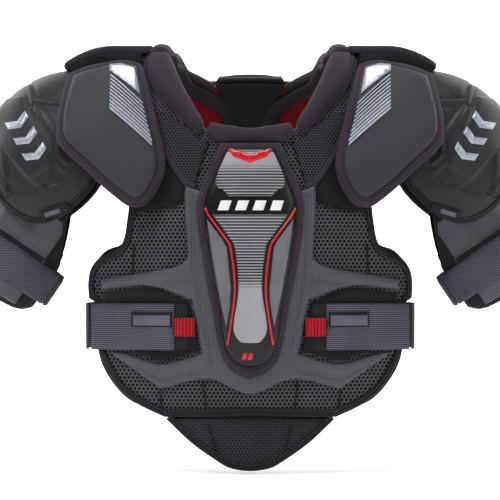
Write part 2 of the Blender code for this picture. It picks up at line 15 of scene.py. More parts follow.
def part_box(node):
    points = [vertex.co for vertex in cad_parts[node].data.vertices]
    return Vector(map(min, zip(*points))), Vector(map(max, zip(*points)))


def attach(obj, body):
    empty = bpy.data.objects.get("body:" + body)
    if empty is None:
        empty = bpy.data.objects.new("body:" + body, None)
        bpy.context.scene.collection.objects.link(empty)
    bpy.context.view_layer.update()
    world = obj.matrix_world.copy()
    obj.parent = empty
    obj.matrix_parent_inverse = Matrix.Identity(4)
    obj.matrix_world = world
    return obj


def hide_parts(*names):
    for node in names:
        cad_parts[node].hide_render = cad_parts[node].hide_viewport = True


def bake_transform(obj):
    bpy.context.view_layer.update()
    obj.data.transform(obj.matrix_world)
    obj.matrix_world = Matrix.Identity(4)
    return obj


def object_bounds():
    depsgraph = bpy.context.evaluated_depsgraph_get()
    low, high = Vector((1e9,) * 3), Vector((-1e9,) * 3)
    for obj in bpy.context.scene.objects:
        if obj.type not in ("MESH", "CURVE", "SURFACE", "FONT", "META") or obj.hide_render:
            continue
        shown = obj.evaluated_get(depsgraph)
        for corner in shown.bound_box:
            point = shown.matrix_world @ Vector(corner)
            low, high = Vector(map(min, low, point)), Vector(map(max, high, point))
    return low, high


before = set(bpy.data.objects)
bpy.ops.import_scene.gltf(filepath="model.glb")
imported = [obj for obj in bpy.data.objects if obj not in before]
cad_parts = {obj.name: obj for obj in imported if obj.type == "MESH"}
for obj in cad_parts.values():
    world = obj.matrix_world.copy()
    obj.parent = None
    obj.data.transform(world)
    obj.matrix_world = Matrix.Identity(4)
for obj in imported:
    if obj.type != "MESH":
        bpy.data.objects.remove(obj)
cad_low, cad_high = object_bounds()

# ---------------------------------------------------------------- Sizes, read from the frame

SHOULDER_TOP = -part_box("belly_pad")[0].z
CHEST_HALF_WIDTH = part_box("chest_liner")[1].x / 175.5 * 176
DRAFT_HALF_WIDTH = 176
DRAFT_HEIGHT = 452
SPRING = 0.250  # height at which chest and back start to arch over the shoulder
FRONT_DEPTH = 0.125
BACK_DEPTH = 0.115
SIDE_SETBACK = 0.065
WAIST_TAPER = 0.32
SHOULDER_SLOPE = 7.0
SHOULDER_FLAT = 0.150
FLAP_LIFT = 0.004
SEAM_ANGLE = 76.5
ARCH = SHOULDER_TOP - SPRING
OVER_TOP = SPRING + ARCH * math.pi / 2
BACK_SPRING = SPRING + ARCH * math.pi

GAP = 0.0012  # air between layers
LINER = 0.010
SHELL = 0.005
COLLAR = 0.010
PLATE = 0.003
TAPE = 0.0015
TAPE_WIDTH = 0.008
STITCH_INSET = 0.006  # from the bound edge to the row of stitches
STITCH_HEIGHT = 0.0029  # above the liner, where the folded tape is stitched
FLAP_PAD = 0.006
FRAME_HEIGHT = 0.0074
PLATE_HEIGHT = 0.0116
STRAP_FACE = 0.0051
STRAP = 0.0025
STRAP_HEIGHT = 0.155
STRAP_HALF = 0.025
STRAP_HINGE = CHEST_HALF_WIDTH - 0.005
HEX_ROW = 0.866  # rows of a hexagonal mesh lie this share of its pitch apart

CAP_SIZE = Vector((0.106, 0.092, 0.113))
CAP_SHELL = 0.003
SHOULDER_DEPTH = (CAP_SIZE.y + CAP_SHELL) * math.sqrt(ARCH / CAP_SIZE.z) * 0.945
CAP_CENTRE = Vector((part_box("cap_shell_left")[1].x - CAP_SIZE.x - CAP_SHELL, 0,
    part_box("cap_shell_left")[1].z - CAP_SIZE.z - CAP_SHELL))
ARM_SPLAY = math.radians(34)
ARM_DOWN = np.array((math.sin(ARM_SPLAY), 0, -math.cos(ARM_SPLAY)))
ARM_OUT = np.array((math.cos(ARM_SPLAY), 0, math.sin(ARM_SPLAY)))
ARM_TOP = np.array(CAP_CENTRE) + np.array((-0.0045, 0, 0.0215))
SLEEVE_HALF_WIDTH = 0.050
SLEEVE_HALF_DEPTH = 0.053
SLEEVE_ROUND = 0.0515  # radius that turns an angle round the arm into a length of cloth
SLEEVE_TOP = 0.056
SLEEVE_BOTTOM = 0.180
BAND_TOP = 0.120
BAND_BOTTOM = 0.158
CAP_ROUND = 0.100

# ---------------------------------------------------------------- Surfaces that the patterns are laid on


def shoulder_line(x):
    return SHOULDER_TOP - SHOULDER_SLOPE * np.maximum(np.abs(x) - SHOULDER_FLAT, 0) ** 2


def trunk(x, t):
    """The chest, shoulder and back as one drape: t runs up the front, over the top and down the back."""
    setback = SIDE_SETBACK * (x / CHEST_HALF_WIDTH) ** 2
    over = np.clip((t - SPRING) / ARCH, 0, math.pi)
    drop = np.maximum(SPRING - t, 0) + np.maximum(t - BACK_SPRING, 0)
    on_back = over > math.pi / 2
    depth = np.where(on_back, BACK_DEPTH, FRONT_DEPTH)
    taper = np.where(on_back, -WAIST_TAPER, WAIST_TAPER) * drop**2
    rise = shoulder_line(x) - SPRING
    return np.stack([x, (setback - depth) * np.cos(over) + taper, SPRING + rise * np.sin(over) - drop
        - SHOULDER_TOP], 1)


def shoulder(x, t):
    """The flatter surface of the flaps and bridges, over the caps."""
    over = (t - SPRING) / ARCH
    rise = shoulder_line(x) + FLAP_LIFT - SPRING
    return np.stack([x, -SHOULDER_DEPTH * np.cos(over), SPRING + rise * np.sin(over) - SHOULDER_TOP], 1)


def flat_back(x, t):
    return np.stack([x, np.full_like(x, BACK_DEPTH), SPRING - (t - BACK_SPRING) - SHOULDER_TOP], 1)


def cap(u, v):
    """The shoulder cap's ellipsoid. u is azimuth from the front outwards and -v the angle from the top."""
    azimuth = u / CAP_ROUND
    polar = -v / CAP_ROUND
    around = np.stack([np.sin(azimuth) * np.sin(polar), -np.cos(azimuth) * np.sin(polar), np.cos(polar)], 1)
    return np.array(CAP_CENTRE) + around * np.array(CAP_SIZE)


def sleeve(u, v):
    """The tube round the arm. u is the way round from the outside and -v the way down from the joint."""
    turn = (u / SLEEVE_ROUND)[:, None]
    out = ARM_OUT * np.cos(turn) * SLEEVE_HALF_WIDTH
    return ARM_TOP + out + np.array((0, 1, 0)) * np.sin(turn) * SLEEVE_HALF_DEPTH - v[:, None] * ARM_DOWN


def lay(surface, u, v, height):
    """Points of the surface raised along its normal by height, and the normals."""
    step = 0.0005
    along_u = surface(u + step, v) - surface(u - step, v)
    along_v = surface(u, v + step) - surface(u, v - step)
    normal = np.cross(along_u, along_v)
    normal /= np.linalg.norm(normal, axis=1)[:, None] + 1e-12
    return surface(u, v) + normal * np.reshape(height, (-1, 1)), normal


def front(x, z):
    """A drafted point of the front as x and t."""
    x = x / DRAFT_HALF_WIDTH * CHEST_HALF_WIDTH
    z = z / DRAFT_HEIGHT * SHOULDER_TOP
    if z <= SPRING:
        return (x, z)
    rise = float(shoulder_line(x)) - SPRING
    return (x, SPRING + ARCH * math.asin(min((z - SPRING) / rise, 0.999)))


def rear(x, z):
    x, t = front(x, z)
    return (x, 2 * OVER_TOP - t)


def arch(x, degrees):
    return (x / DRAFT_HALF_WIDTH * CHEST_HALF_WIDTH, SPRING + ARCH * math.radians(degrees))


def flap(x, z):
    """A drafted point of the clavicle flap, by its place in the front view."""
    x = x / DRAFT_HALF_WIDTH * CHEST_HALF_WIDTH
    z = z / DRAFT_HEIGHT * SHOULDER_TOP
    rise = float(shoulder_line(x)) + FLAP_LIFT - SPRING
    return (x, SPRING + ARCH * math.asin(min((z - SPRING) / rise, 0.999)))


def arm(degrees, down):
    """A drafted point of the sleeve: degrees round from the outside, metres down the arm."""
    return (math.radians(degrees) * SLEEVE_ROUND, -down)


def fronts(*points):
    return [front(*point) for point in points]


def rears(*points):
    return [rear(*point) for point in points]


def flaps(*points):
    return [flap(*point) for point in points]


def both_sides(*lines):
    """Lines of the front on the wearer's left, and then their mirror images."""
    return [[(sign * x, t) for x, t in line] for sign in (1, -1) for line in lines]


def whole(half):
    """Closes a half outline, drawn from centre line to centre line, with its mirror image."""
    return half + [(-x, t) for x, t in reversed(half) if x > 1e-6]


# ---------------------------------------------------------------- Outlines


def curved(points, closed=True, spacing=0.004, corner=42):
    """Draws a smooth line through the points of an outline, and keeps its sharp corners sharp."""
    points = [Vector(point) for point in points]
    count = len(points)
    drawn = []
    for index in range(count if closed else count - 1):
        before, start, end, after = [points[(index + step) % count] for step in (-1, 0, 1, 2)]
        if not closed and index == 0:
            before = start
        if not closed and index == count - 2:
            after = end
        way = end - start
        leave = way if turn_between(before, start, end) > corner else (end - before)
        arrive = way if turn_between(start, end, after) > corner else (after - start)
        reach = way.length / 3
        control_a = start + leave.normalized() * reach
        control_b = end - arrive.normalized() * reach
        steps = max(round(way.length / spacing), 1)
        for step in range(steps):
            s = step / steps
            drawn.append(start * (1 - s) ** 3 + control_a * 3 * s * (1 - s) ** 2 + control_b * 3 * s**2
                * (1 - s) + end * s**3)
    if not closed:
        drawn.append(points[-1])
    return [tuple(point) for point in drawn]


def turn_between(before, middle, after):
    first = middle - before
    second = after - middle
    if first.length < 1e-9 or second.length < 1e-9:
        return 0
    return math.degrees(first.angle(second))


def distance_to(points, line, closed=True):
    """Distance from each point to the nearest part of a line, in the flat pattern."""
    starts = np.array(line)
    ends = np.roll(starts, -1, 0)
    if not closed:
        starts, ends = starts[:-1], ends[:-1]
    nearest = np.full(len(points), 1e9)
    for start, end in zip(starts, ends):
        way = end - start
        share = np.clip(((points - start) @ way) / max(way @ way, 1e-12), 0, 1)
        nearest = np.minimum(nearest, np.linalg.norm(points - start - share[:, None] * way, axis=1))
    return nearest


def inside(points, outline):
    """Which points lie inside a closed outline."""
    result = np.zeros(len(points), bool)
    for (x1, y1), (x2, y2) in zip(outline, outline[1:] + outline[:1]):
        crosses = (y1 > points[:, 1]) != (y2 > points[:, 1])
        at = (x2 - x1) * (points[:, 1] - y1) / (y2 - y1 + 1e-15) + x1
        result ^= crosses & (points[:, 0] < at)
    return result


def groove(line, depth, width, closed=False):
    """Relief: a sewn or moulded channel along a line. A negative depth makes a ridge."""
    def relief(points):
        return -depth * np.exp(-((distance_to(points, line, closed) / width) ** 2))
    return relief


def plateau(outline, height, slope):
    """Relief: a raised or sunk area with sloping sides."""
    def relief(points):
        signed = distance_to(points, outline) * np.where(inside(points, outline), 1, -1)
        rise = np.clip(signed / slope + 0.5, 0, 1)
        return height * rise * rise * (3 - 2 * rise)
    return relief


def ribs(axis, pitch, depth):
    """Relief: parallel woven ribs."""
    def relief(points):
        return depth * np.abs(np.cos(points[:, axis] * math.pi / pitch))
    return relief


# ---------------------------------------------------------------- Materials


def srgb(code):
    """An sRGB hex colour as linear RGBA."""
    channels = [int(code[index:index + 2], 16) / 255 for index in (0, 2, 4)]
    return [c / 12.92 if c <= 0.04045 else ((c + 0.055) / 1.055) ** 2.4 for c in channels] + [1.0]


def add(tree, kind, inputs=None, **settings):
    """Adds one node with its settings, its constant values and its links."""
    made = tree.nodes.new("ShaderNode" + kind)
    for name, value in settings.items():
        setattr(made, name, value)
    for socket, value in (inputs or {}).items():
        if isinstance(value, bpy.types.NodeSocket):
            tree.links.new(value, made.inputs[socket])
        else:
            made.inputs[socket].default_value = value
    return made


def ripple(tree, cloth, direction, pitch):
    """A wave from -1 to 1 across the cloth, one crest each pitch."""
    scaled = [part * 2 * math.pi / pitch for part in direction] + [0]
    along = add(tree, "VectorMath", {0: cloth, 1: scaled}, operation="DOT_PRODUCT")
    return add(tree, "Math", {0: along.outputs["Value"]}, operation="COSINE").outputs[0]


def level(tree, value, low, high):
    """Stretches a value so that low becomes 0 and high becomes 1."""
    return add(tree, "MapRange", {0: value, 1: low, 2: high}).outputs[0]


def hexagons(pitch, low=-1.5, high=1.2):
    def pattern(tree, cloth):
        waves = [ripple(tree, cloth, way, pitch * HEX_ROW) for way in ((0, 1), (HEX_ROW, 0.5),
            (-HEX_ROW, 0.5))]
        two = add(tree, "Math", {0: waves[0], 1: waves[1]}, operation="ADD").outputs[0]
        total = add(tree, "Math", {0: two, 1: waves[2]}, operation="ADD").outputs[0]
        return level(tree, total, high, low)
    return pattern


def weave(pitch, across=None):
    def pattern(tree, cloth):
        warp = ripple(tree, cloth, (1, 0), pitch)
        weft = ripple(tree, cloth, (0, 1), across or pitch)
        crossed = add(tree, "Math", {0: warp, 1: weft}, operation="MULTIPLY").outputs[0]
        return level(tree, crossed, -1, 1)
    return pattern


def stripes(direction, pitch, low=-1, high=1):
    def pattern(tree, cloth):
        return level(tree, ripple(tree, cloth, direction, pitch), low, high)
    return pattern


def squares(pitch):
    def pattern(tree, cloth):
        sides = [ripple(tree, cloth, way, pitch) for way in ((1, 0), (0, 1))]
        lines = add(tree, "Math", {0: sides[0], 1: sides[1]}, operation="MAXIMUM").outputs[0]
        return level(tree, lines, 1.0, 0.2)
    return pattern


def pebbles(size):
    def pattern(tree, cloth):
        cells = add(tree, "TexVoronoi", {"Vector": cloth, "Scale": 1 / size}, feature="SMOOTH_F1")
        return level(tree, cells.outputs["Distance"], 0.7, 0.1)
    return pattern


def striped_weave(pitch, stripe, top, bottom):
    """A fine weave with dark stripes that fade in from top downwards and out again at bottom."""
    def pattern(tree, cloth):
        fine = weave(pitch)(tree, cloth)
        bars = stripes((0, 1), stripe, -0.5, 0.5)(tree, cloth)
        height = add(tree, "SeparateXYZ", {0: cloth}).outputs[1]
        shown = add(tree, "Math", {0: level(tree, height, *top), 1: level(tree, height, *bottom)},
            operation="MULTIPLY").outputs[0]
        barred = add(tree, "Math", {0: bars, 1: shown}, operation="MULTIPLY").outputs[0]
        light = add(tree, "Math", {0: 1.0, 1: barred}, operation="SUBTRACT").outputs[0]
        return add(tree, "Math", {0: light, 1: level(tree, fine, -1.2, 1)}, operation="MULTIPLY").outputs[0]
    return pattern


CLOUD_SCALE = 26.0  # slow unevenness, some 40 mm across
FUZZ_SCALE = 900.0  # the fibre or grain of the surface, about 1 mm across


def finish_of(name, dark, light, pattern, relief, roughness, mottle=0.18, gloss=0.15, **shader_values):
    """A material whose colour runs from dark in the pattern's hollows to light on its crests.

    relief is the pattern's depth in metres, and mottle is how far slow unevenness shifts the colour. gloss
    is the strength of the surface's own reflection: fibres and foams scatter most of it.
    """
    made = bpy.data.materials.new(name)
    made.use_nodes = True
    tree = made.node_tree
    shader = tree.nodes["Principled BSDF"]
    cloth = add(tree, "UVMap", uv_map="Pattern").outputs[0]
    place = add(tree, "TexCoord").outputs["Object"]
    height = pattern(tree, cloth)
    cloudy = add(tree, "TexNoise", {"Vector": place, "Scale": CLOUD_SCALE, "Detail": 5.0}).outputs[0]
    tint = add(tree, "MixRGB", {0: height, 1: srgb(dark), 2: srgb(light)}).outputs[0]
    shade = add(tree, "MapRange", {0: cloudy, 1: 0.25, 2: 0.75, 3: 1 - mottle, 4: 1 + mottle}).outputs[0]
    mixed = add(tree, "VectorMath", {0: tint, 1: shade}, operation="MULTIPLY").outputs[0]
    tree.links.new(mixed, shader.inputs["Base Color"])
    rough = add(tree, "MapRange", {0: cloudy, 1: 0.25, 2: 0.75, 3: roughness - 0.06,
        4: roughness + 0.06}).outputs[0]
    tree.links.new(rough, shader.inputs["Roughness"])
    fuzz = add(tree, "TexNoise", {"Vector": place, "Scale": FUZZ_SCALE, "Detail": 2.0}).outputs[0]
    grain = add(tree, "Bump", {"Height": fuzz, "Distance": relief * 0.35, "Strength": 0.6})
    bump = add(tree, "Bump", {"Height": height, "Distance": relief, "Normal": grain.outputs[0]})
    tree.links.new(bump.outputs[0], shader.inputs["Normal"])
    shader.inputs["Specular IOR Level"].default_value = gloss
    for socket, value in shader_values.items():
        shader.inputs[socket.replace("_", " ")].default_value = value
    return made


# Laminated neoprene with a knitted jersey face: soft, plum-black, a little velvety at grazing angles.
NEOPRENE = finish_of("neoprene_jersey_plum_black", "231e24", "3a343c", weave(0.0016), 0.0002, 0.82,
    Sheen_Weight=0.08, Sheen_Roughness=0.5)
# The same laminate cut as binding tape: pressed harder in folding, so flatter and darker.
BINDING = finish_of("neoprene_binding_black", "100e11", "272329", weave(0.0014), 0.0002, 0.8,
    Sheen_Weight=0.05)
# Warp-knitted spacer mesh, with a breathing hole every 4.6 mm. The holes are painted darker than the yarn,
# partly the dark backing seen through them and partly painted shade in the pits; the light yarn crests are
# a painted highlight.
SPACER_MESH = finish_of("spacer_mesh_black", "08080a", "57575c", hexagons(0.0046, -1.3, 0.6), 0.0013, 0.6)
# The same mesh with smaller holes, on the belly and the lower chest, with the same painted shade in its
# holes and painted highlight on its crests.
FINE_MESH = finish_of("fine_spacer_mesh_black", "08080a", "3a3a40", hexagons(0.0034, -1.2, 0.7), 0.0009,
    0.6)
# Woven polyester backing that shows through the open mesh.
BACKING = finish_of("polyester_backing_black", "0c0c0e", "1d1c20", weave(0.0012), 0.0001, 0.75)
# Monofilament netting, a faint shine on each wire.
NETTING = finish_of("monofilament_net_black", "38373c", "504f55", weave(0.0008), 0.0001, 0.5)
# Compression-moulded EVA foam with a laminated face, embossed with 2.2 mm squares.
MOULDED_FOAM = finish_of("moulded_eva_embossed_grey", "343638", "5c5e62", squares(0.0022), 0.0003, 0.46,
    mottle=0.12, gloss=0.25)
# Injection-moulded polyethylene with a fine leather-like spark finish.
FLAP_PLASTIC = finish_of("polyethylene_spark_grey", "29292d", "3b3b40", hexagons(0.0016), 0.00016, 0.42,
    mottle=0.06, gloss=0.22)
CAP_PLASTIC = finish_of("polyethylene_cap_charcoal", "1d1e21", "2c2e31", pebbles(0.0011), 0.00010, 0.44,
    mottle=0.04, gloss=0.22)
CAP_TEXTURE = finish_of("polyethylene_cap_dotted", "1c1d20", "33353a", hexagons(0.0021), 0.0005, 0.5)
# Glossy black polyurethane of the sternum plate's base.
GLOSS_BLACK = finish_of("polyurethane_gloss_black", "0c0c0f", "141418", pebbles(0.0009), 0.00004, 0.28,
    gloss=0.3)
# Woven glass-fibre inlay, silver with black weft stripes in its middle.
INLAY = finish_of("woven_glass_silver", "08080a", "aaaaaf", striped_weave(0.0019, 0.0031, (0.330, 0.318),
    (0.196, 0.205)), 0.00015, 0.42, mottle=0.1)
INLAY_WING = finish_of("woven_glass_silver_plain", "35353a", "8a8a90", weave(0.0019), 0.00015, 0.42,
    mottle=0.12)
# Hot-stamped metal foil: bright, with a slight orange peel.
FOIL = finish_of("stamped_foil_silver", "9298a2", "b4b9c3", pebbles(0.0016), 0.00002, 0.42, mottle=0.06,
    Metallic=0.55, gloss=0.5)
WHITE_PRINT = finish_of("screen_print_white", "dedee2", "f2f2f4", weave(0.0012), 0.00003, 0.5, mottle=0.03)
# Painted thermoplastic polyurethane, glossy red.
RED_TRIM = finish_of("polyurethane_gloss_red", "b00a16", "cf1420", pebbles(0.0012), 0.00003, 0.30,
    mottle=0.06, gloss=0.4, Coat_Weight=0.3)
# Brushed tricot lining, red.
RED_LINING = finish_of("tricot_lining_red", "5a0612", "a8101f", hexagons(0.0042), 0.0005, 0.8,
    Sheen_Weight=0.1)
# Knitted polyester elastic: lilac-grey warp with black weft stripes.
ELASTIC = finish_of("striped_elastic_lilac_grey", "232329", "5e5e68", stripes((0, 1), 0.0022, -0.9, 0.2),
    0.0003, 0.78)
ARM_ELASTIC = finish_of("chequer_elastic_grey", "24242b", "5b5b66", weave(0.0042, 0.0032), 0.0003, 0.78)
RIBBED_ELASTIC = finish_of("ribbed_elastic_black", "17161a", "322f36", stripes((1, 0), 0.0026), 0.0001, 0.8)
# Brushed loop of a hook-and-loop fastener: matt, fuzzy, very dark.
LOOP = finish_of("brushed_loop_black", "100e11", "242125", pebbles(0.0010), 0.0004, 0.95, Sheen_Weight=0.1)
HOOK = finish_of("moulded_hook_grey", "18181b", "2b2b2e", squares(0.0018), 0.0004, 0.6)
LABEL = finish_of("satin_label_grey", "4f4a57", "68626f", weave(0.0010, 0.0022), 0.00008, 0.42)
LABEL_BORDER = finish_of("satin_label_black", "121215", "1e1e22", weave(0.0011), 0.00008, 0.45)
RED_WEBBING = finish_of("woven_tab_red", "6f0713", "b81322", stripes((1, 0), 0.0034, -0.9, 0.4), 0.0004,
    0.6)
# Bonded nylon thread, a little lighter than the neoprene.
THREAD = finish_of("bonded_nylon_thread_grey", "333036", "4c4852", weave(0.0005), 0.00005, 0.55)

# ---------------------------------------------------------------- Making pieces


def pattern_uv(bm):
    """Keeps the flat pattern's own coordinates as the cloth's, before the piece is laid on its surface."""
    cloth = bm.loops.layers.uv.new("Pattern")
    for face in bm.faces:
        for loop in face.loops:
            loop[cloth].uv = loop.vert.co.xy


def move_to(bm, places):
    for vert, place in zip(bm.verts, places):
        vert.co = place


def settle(name, bm, body, materials, replaces=(), solid=None):
    """Turns a finished bmesh into a piece that rides on its body and stands for its CAD nodes.

    Everything is drawn on the wearer's left. A piece whose name ends in _right becomes its mirror image.
    """
    if name.endswith("_right"):
        bmesh.ops.scale(bm, vec=(-1, 1, 1), verts=bm.verts)
        bmesh.ops.reverse_faces(bm, faces=bm.faces)
    mesh = bpy.data.meshes.new(name)
    bm.to_mesh(mesh)
    bm.free()
    mesh.shade_smooth()
    for material in materials:
        mesh.materials.append(material)
    obj = bpy.data.objects.new(name, mesh)
    bpy.context.scene.collection.objects.link(obj)
    if solid:
        wall = obj.modifiers.new("Wall", "SOLIDIFY")
        wall.thickness = solid
        wall.offset = -1
    if body:
        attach(obj, body)
    if replaces:
        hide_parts(*replaces)
    return obj


def flat_pattern(outline, rings, cell):
    """The outline as a face, with rings inside its edge, cut into cells small enough to bend."""
    bm = bmesh.new()
    face = bm.faces.new([bm.verts.new((u, v, 0)) for u, v in outline])
    bm.normal_update()
    if face.normal.z < 0:
        bmesh.ops.reverse_faces(bm, faces=[face])
    middle = [face]
    for width in rings:
        bmesh.ops.inset_region(bm, faces=middle, thickness=width, use_even_offset=True)
        middle = [max(bm.faces, key=lambda each: len(each.verts))]
    cells = cell if isinstance(cell, tuple) else (cell, cell)
    for axis in (0, 1):
        way = Vector((1, 0, 0)) if axis == 0 else Vector((0, 1, 0))
        values = [point[axis] for point in outline]
        for line in range(math.ceil(min(values) / cells[axis]), math.floor(max(values) / cells[axis]) + 1):
            everything = bm.verts[:] + bm.edges[:] + bm.faces[:]
            bmesh.ops.bisect_plane(bm, geom=everything, dist=1e-6, plane_co=way * line * cells[axis],
                plane_no=way)
    bmesh.ops.remove_doubles(bm, verts=bm.verts, dist=0.0001)
    return bm


def panel(name, outline, low, thickness, body, materials, replaces=(), surface=trunk, relief=(),
        roll=None, crown=0.0, cell=0.006, smooth=True, foot=0.35):
    """A closed panel on a surface. Its face rolls down at the edges, swells by crown and takes reliefs."""
    roll = roll or thickness * 1.2
    outline = curved(outline) if smooth else list(outline)
    bm = flat_pattern(outline, (roll * 0.22, roll * 0.34, roll * 0.44), cell)
    raised = bmesh.ops.extrude_face_region(bm, geom=bm.faces[:])["geom"]
    bmesh.ops.translate(bm, vec=(0, 0, 1), verts=[item for item in raised
        if isinstance(item, bmesh.types.BMVert)])
    bmesh.ops.recalc_face_normals(bm, faces=bm.faces[:])
    pattern_uv(bm)
    for face in bm.faces:
        if len(materials) > 1 and all(vert.co.z < 0.5 for vert in face.verts):
            face.material_index = 1
    flat = np.array([vert.co for vert in bm.verts])
    points = flat[:, :2]
    edge = distance_to(points, outline)
    share = np.clip(edge / roll, 0, 1)
    rolled = foot + (1 - foot) * np.sqrt(1 - (1 - share) ** 2)
    swell = crown * (1 - np.exp(-edge / max(crown * 6, 0.004))) if crown else 0
    top = thickness * rolled + swell
    for shape in relief:
        top = top + shape(points) * share
    under = thickness * 0.18 * (1 - share)
    height = low + np.where(flat[:, 2] > 0.5, np.maximum(top, under + 0.0002), under)
    placed, _ = lay(surface, points[:, 0], points[:, 1], height)
    move_to(bm, placed)
    return settle(name, bm, body, materials, replaces)


def strip_through(rows, around=False):
    """A sheet through equal rows of points, with its cloth measured along the rows."""
    bm = bmesh.new()
    count = len(rows[0])
    bmesh.ops.create_grid(bm, x_segments=len(rows) - 1, y_segments=count - 1, size=0.5)
    verts = sorted(bm.verts, key=lambda vert: (round(vert.co.x, 5), vert.co.y))
    rows = np.array(rows)
    along = np.concatenate([[0], np.cumsum(np.linalg.norm(np.diff(rows[:, 0], axis=0), axis=1))])
    across = np.concatenate([[0], np.cumsum(np.linalg.norm(np.diff(rows[0], axis=0), axis=1))])
    cloth = bm.loops.layers.uv.new("Pattern")
    place = {vert: (index // count, index % count) for index, vert in enumerate(verts)}
    for face in bm.faces:
        for loop in face.loops:
            row, column = place[loop.vert]
            loop[cloth].uv = (along[row], across[column])
    for vert, (row, column) in place.items():
        vert.co = rows[row, column]
    if around:
        bmesh.ops.remove_doubles(bm, verts=bm.verts, dist=0.00002)
        bmesh.ops.holes_fill(bm, edges=[edge for edge in bm.edges if edge.is_boundary], sides=0)
        bmesh.ops.recalc_face_normals(bm, faces=bm.faces[:])
    return bm


def edge_frame(path, surface, height, closed=False):
    """Points along a path on a surface, with their normals and the directions to the left of the path."""
    path = np.array(path)
    points, normals = lay(surface, path[:, 0], path[:, 1], height)
    if closed:
        ways = np.roll(points, -1, 0) - np.roll(points, 1, 0)
    else:
        ways = np.gradient(points, axis=0)
    ways /= np.linalg.norm(ways, axis=1)[:, None]
    lefts = np.cross(normals, ways)
    return points, normals, lefts


def sweep(name, path, profile, body, material, replaces=(), surface=trunk, height=0.0,
        closed=False, spacing=0.004, smooth=True):
    """Runs a closed profile of (left, up) points along a path on a surface: bindings, piping and trim."""
    if smooth:
        path = curved(path, closed, spacing)
    points, normals, lefts = edge_frame(path, surface, height, closed)
    rows = [[point + left * a + normal * b for a, b in profile + profile[:1]]
        for point, normal, left in zip(points, normals, lefts)]
    if closed:
        rows.append(rows[0])
    return settle(name, strip_through(rows, True), body, [material], replaces)


def round_profile(radius, flat=1.0, sides=10):
    turns = [2 * math.pi * index / sides for index in range(sides)]
    return [(radius * math.cos(turn), radius * flat * math.sin(turn)) for turn in turns]


def fold_profile(width, face, side, depth):
    """A binding tape folded over an edge: a flange on the face, round the edge, and a flange behind it."""
    outer = [(width, face - 0.0002), (width - 0.0012, face + 0.0009), (width * 0.5, face + 0.0014),
        (0.0012, face + 0.0010), (-side * 0.8, face - 0.0012), (-side, face - 0.004),
        (-side, -depth + 0.003), (-side * 0.6, -depth - 0.0004), (0.002, -depth - 0.0012), (width * 0.8,
        -depth - 0.0008)]
    inner = [(width * 0.8, -depth + 0.0002), (0.0004, -depth + 0.0008), (0.0004, face - 0.0012)]
    return outer + inner


def stitches(name, path, body, surface=trunk, height=0.0, pitch=0.0042, closed=False, inset=0.0):
    """A row of lockstitches along a path. inset moves the row to the left of the path."""
    points, normals, lefts = edge_frame(curved(path, closed, 0.002), surface, height, closed)
    points = points + lefts * inset
    if closed:
        points = np.concatenate([points, points[:1]])
    gone = np.concatenate([[0], np.cumsum(np.linalg.norm(np.diff(points, axis=0), axis=1))])
    bm = bmesh.new()
    bm.loops.layers.uv.new("Pattern")
    for start in np.arange(pitch / 2, gone[-1], pitch):
        middle = Vector([np.interp(start, gone, points[:, axis]) for axis in range(3)])
        ahead = Vector([np.interp(start + 0.001, gone, points[:, axis]) for axis in range(3)])
        index = min(int(np.searchsorted(gone, start)), len(normals) - 1)
        up = Vector(normals[index])
        way = ahead - middle
        way = way.normalized() if way.length > 1e-6 else Vector(lefts[index]).cross(up)
        turned = Matrix((way, up.cross(way), up)).transposed().to_4x4()
        size = Matrix.Diagonal((pitch * 0.34, 0.00042, 0.00034, 1))
        bmesh.ops.create_uvsphere(bm, u_segments=6, v_segments=4, radius=1,
            matrix=Matrix.Translation(middle) @ turned @ size)
    return settle(name, bm, body, [THREAD])


def net(name, outline, pitch, wire, height, body):
    """Open hexagonal netting: hexagons side by side, each one hollowed out to leave its wires."""
    bm = bmesh.new()
    low = np.min(outline, 0)
    high = np.max(outline, 0)
    rows = int((high[1] - low[1]) / (pitch * HEX_ROW)) + 1
    columns = int((high[0] - low[0]) / pitch) + 1
    for row in range(rows):
        for column in range(columns):
            centre = np.array([[low[0] + (column + 0.5 * (row % 2)) * pitch, low[1] + row * pitch
                * HEX_ROW]])
            if not inside(centre, outline)[0] or distance_to(centre, outline)[0] < pitch * 0.45:
                continue
            place = Matrix.Translation((*centre[0], 0)) @ Matrix.Rotation(math.radians(30), 4, "Z")
            bmesh.ops.create_circle(bm, cap_ends=True, segments=6, radius=pitch / math.sqrt(3),
                matrix=place)
    bmesh.ops.remove_doubles(bm, verts=bm.verts, dist=0.0002)
    bmesh.ops.inset_individual(bm, faces=bm.faces[:], thickness=wire)
    holes = [face for face in bm.faces if len(face.verts) == 6]
    bmesh.ops.delete(bm, geom=holes, context="FACES")
    pattern_uv(bm)
    bmesh.ops.recalc_face_normals(bm, faces=bm.faces[:])
    flat = np.array([vert.co for vert in bm.verts])
    placed, _ = lay(trunk, flat[:, 0], flat[:, 1], np.full(len(flat), height))
    move_to(bm, placed)
    return settle(name, bm, body, [NETTING], solid=0.0008)


SIDES = ("_left", "_right")

# ---------------------------------------------------------------- Chest

NECK_EDGE = [(0, 362), (24, 364), (44, 368)]
ARMHOLE = [(118, 340), (128, 305), (132, 272), (137, 246), (146, 236), (161, 230), (172, 218), (175.5, 203)]
HEM = [(175, 186), (169, 182), (168, 155), (165, 131), (164, 127), (156, 110), (142, 88), (122, 72),
    (92, 58)]
HEM += [(46, 59), (0, 60)]


def seam_bead(name, path, body):
    """The sunk black tape of a quilting seam."""
    sweep(name, path, [(0.0010, -0.001), (0.0007, 0.0012), (-0.0007, 0.0012), (-0.0010, -0.001)], body,
        LOOP)


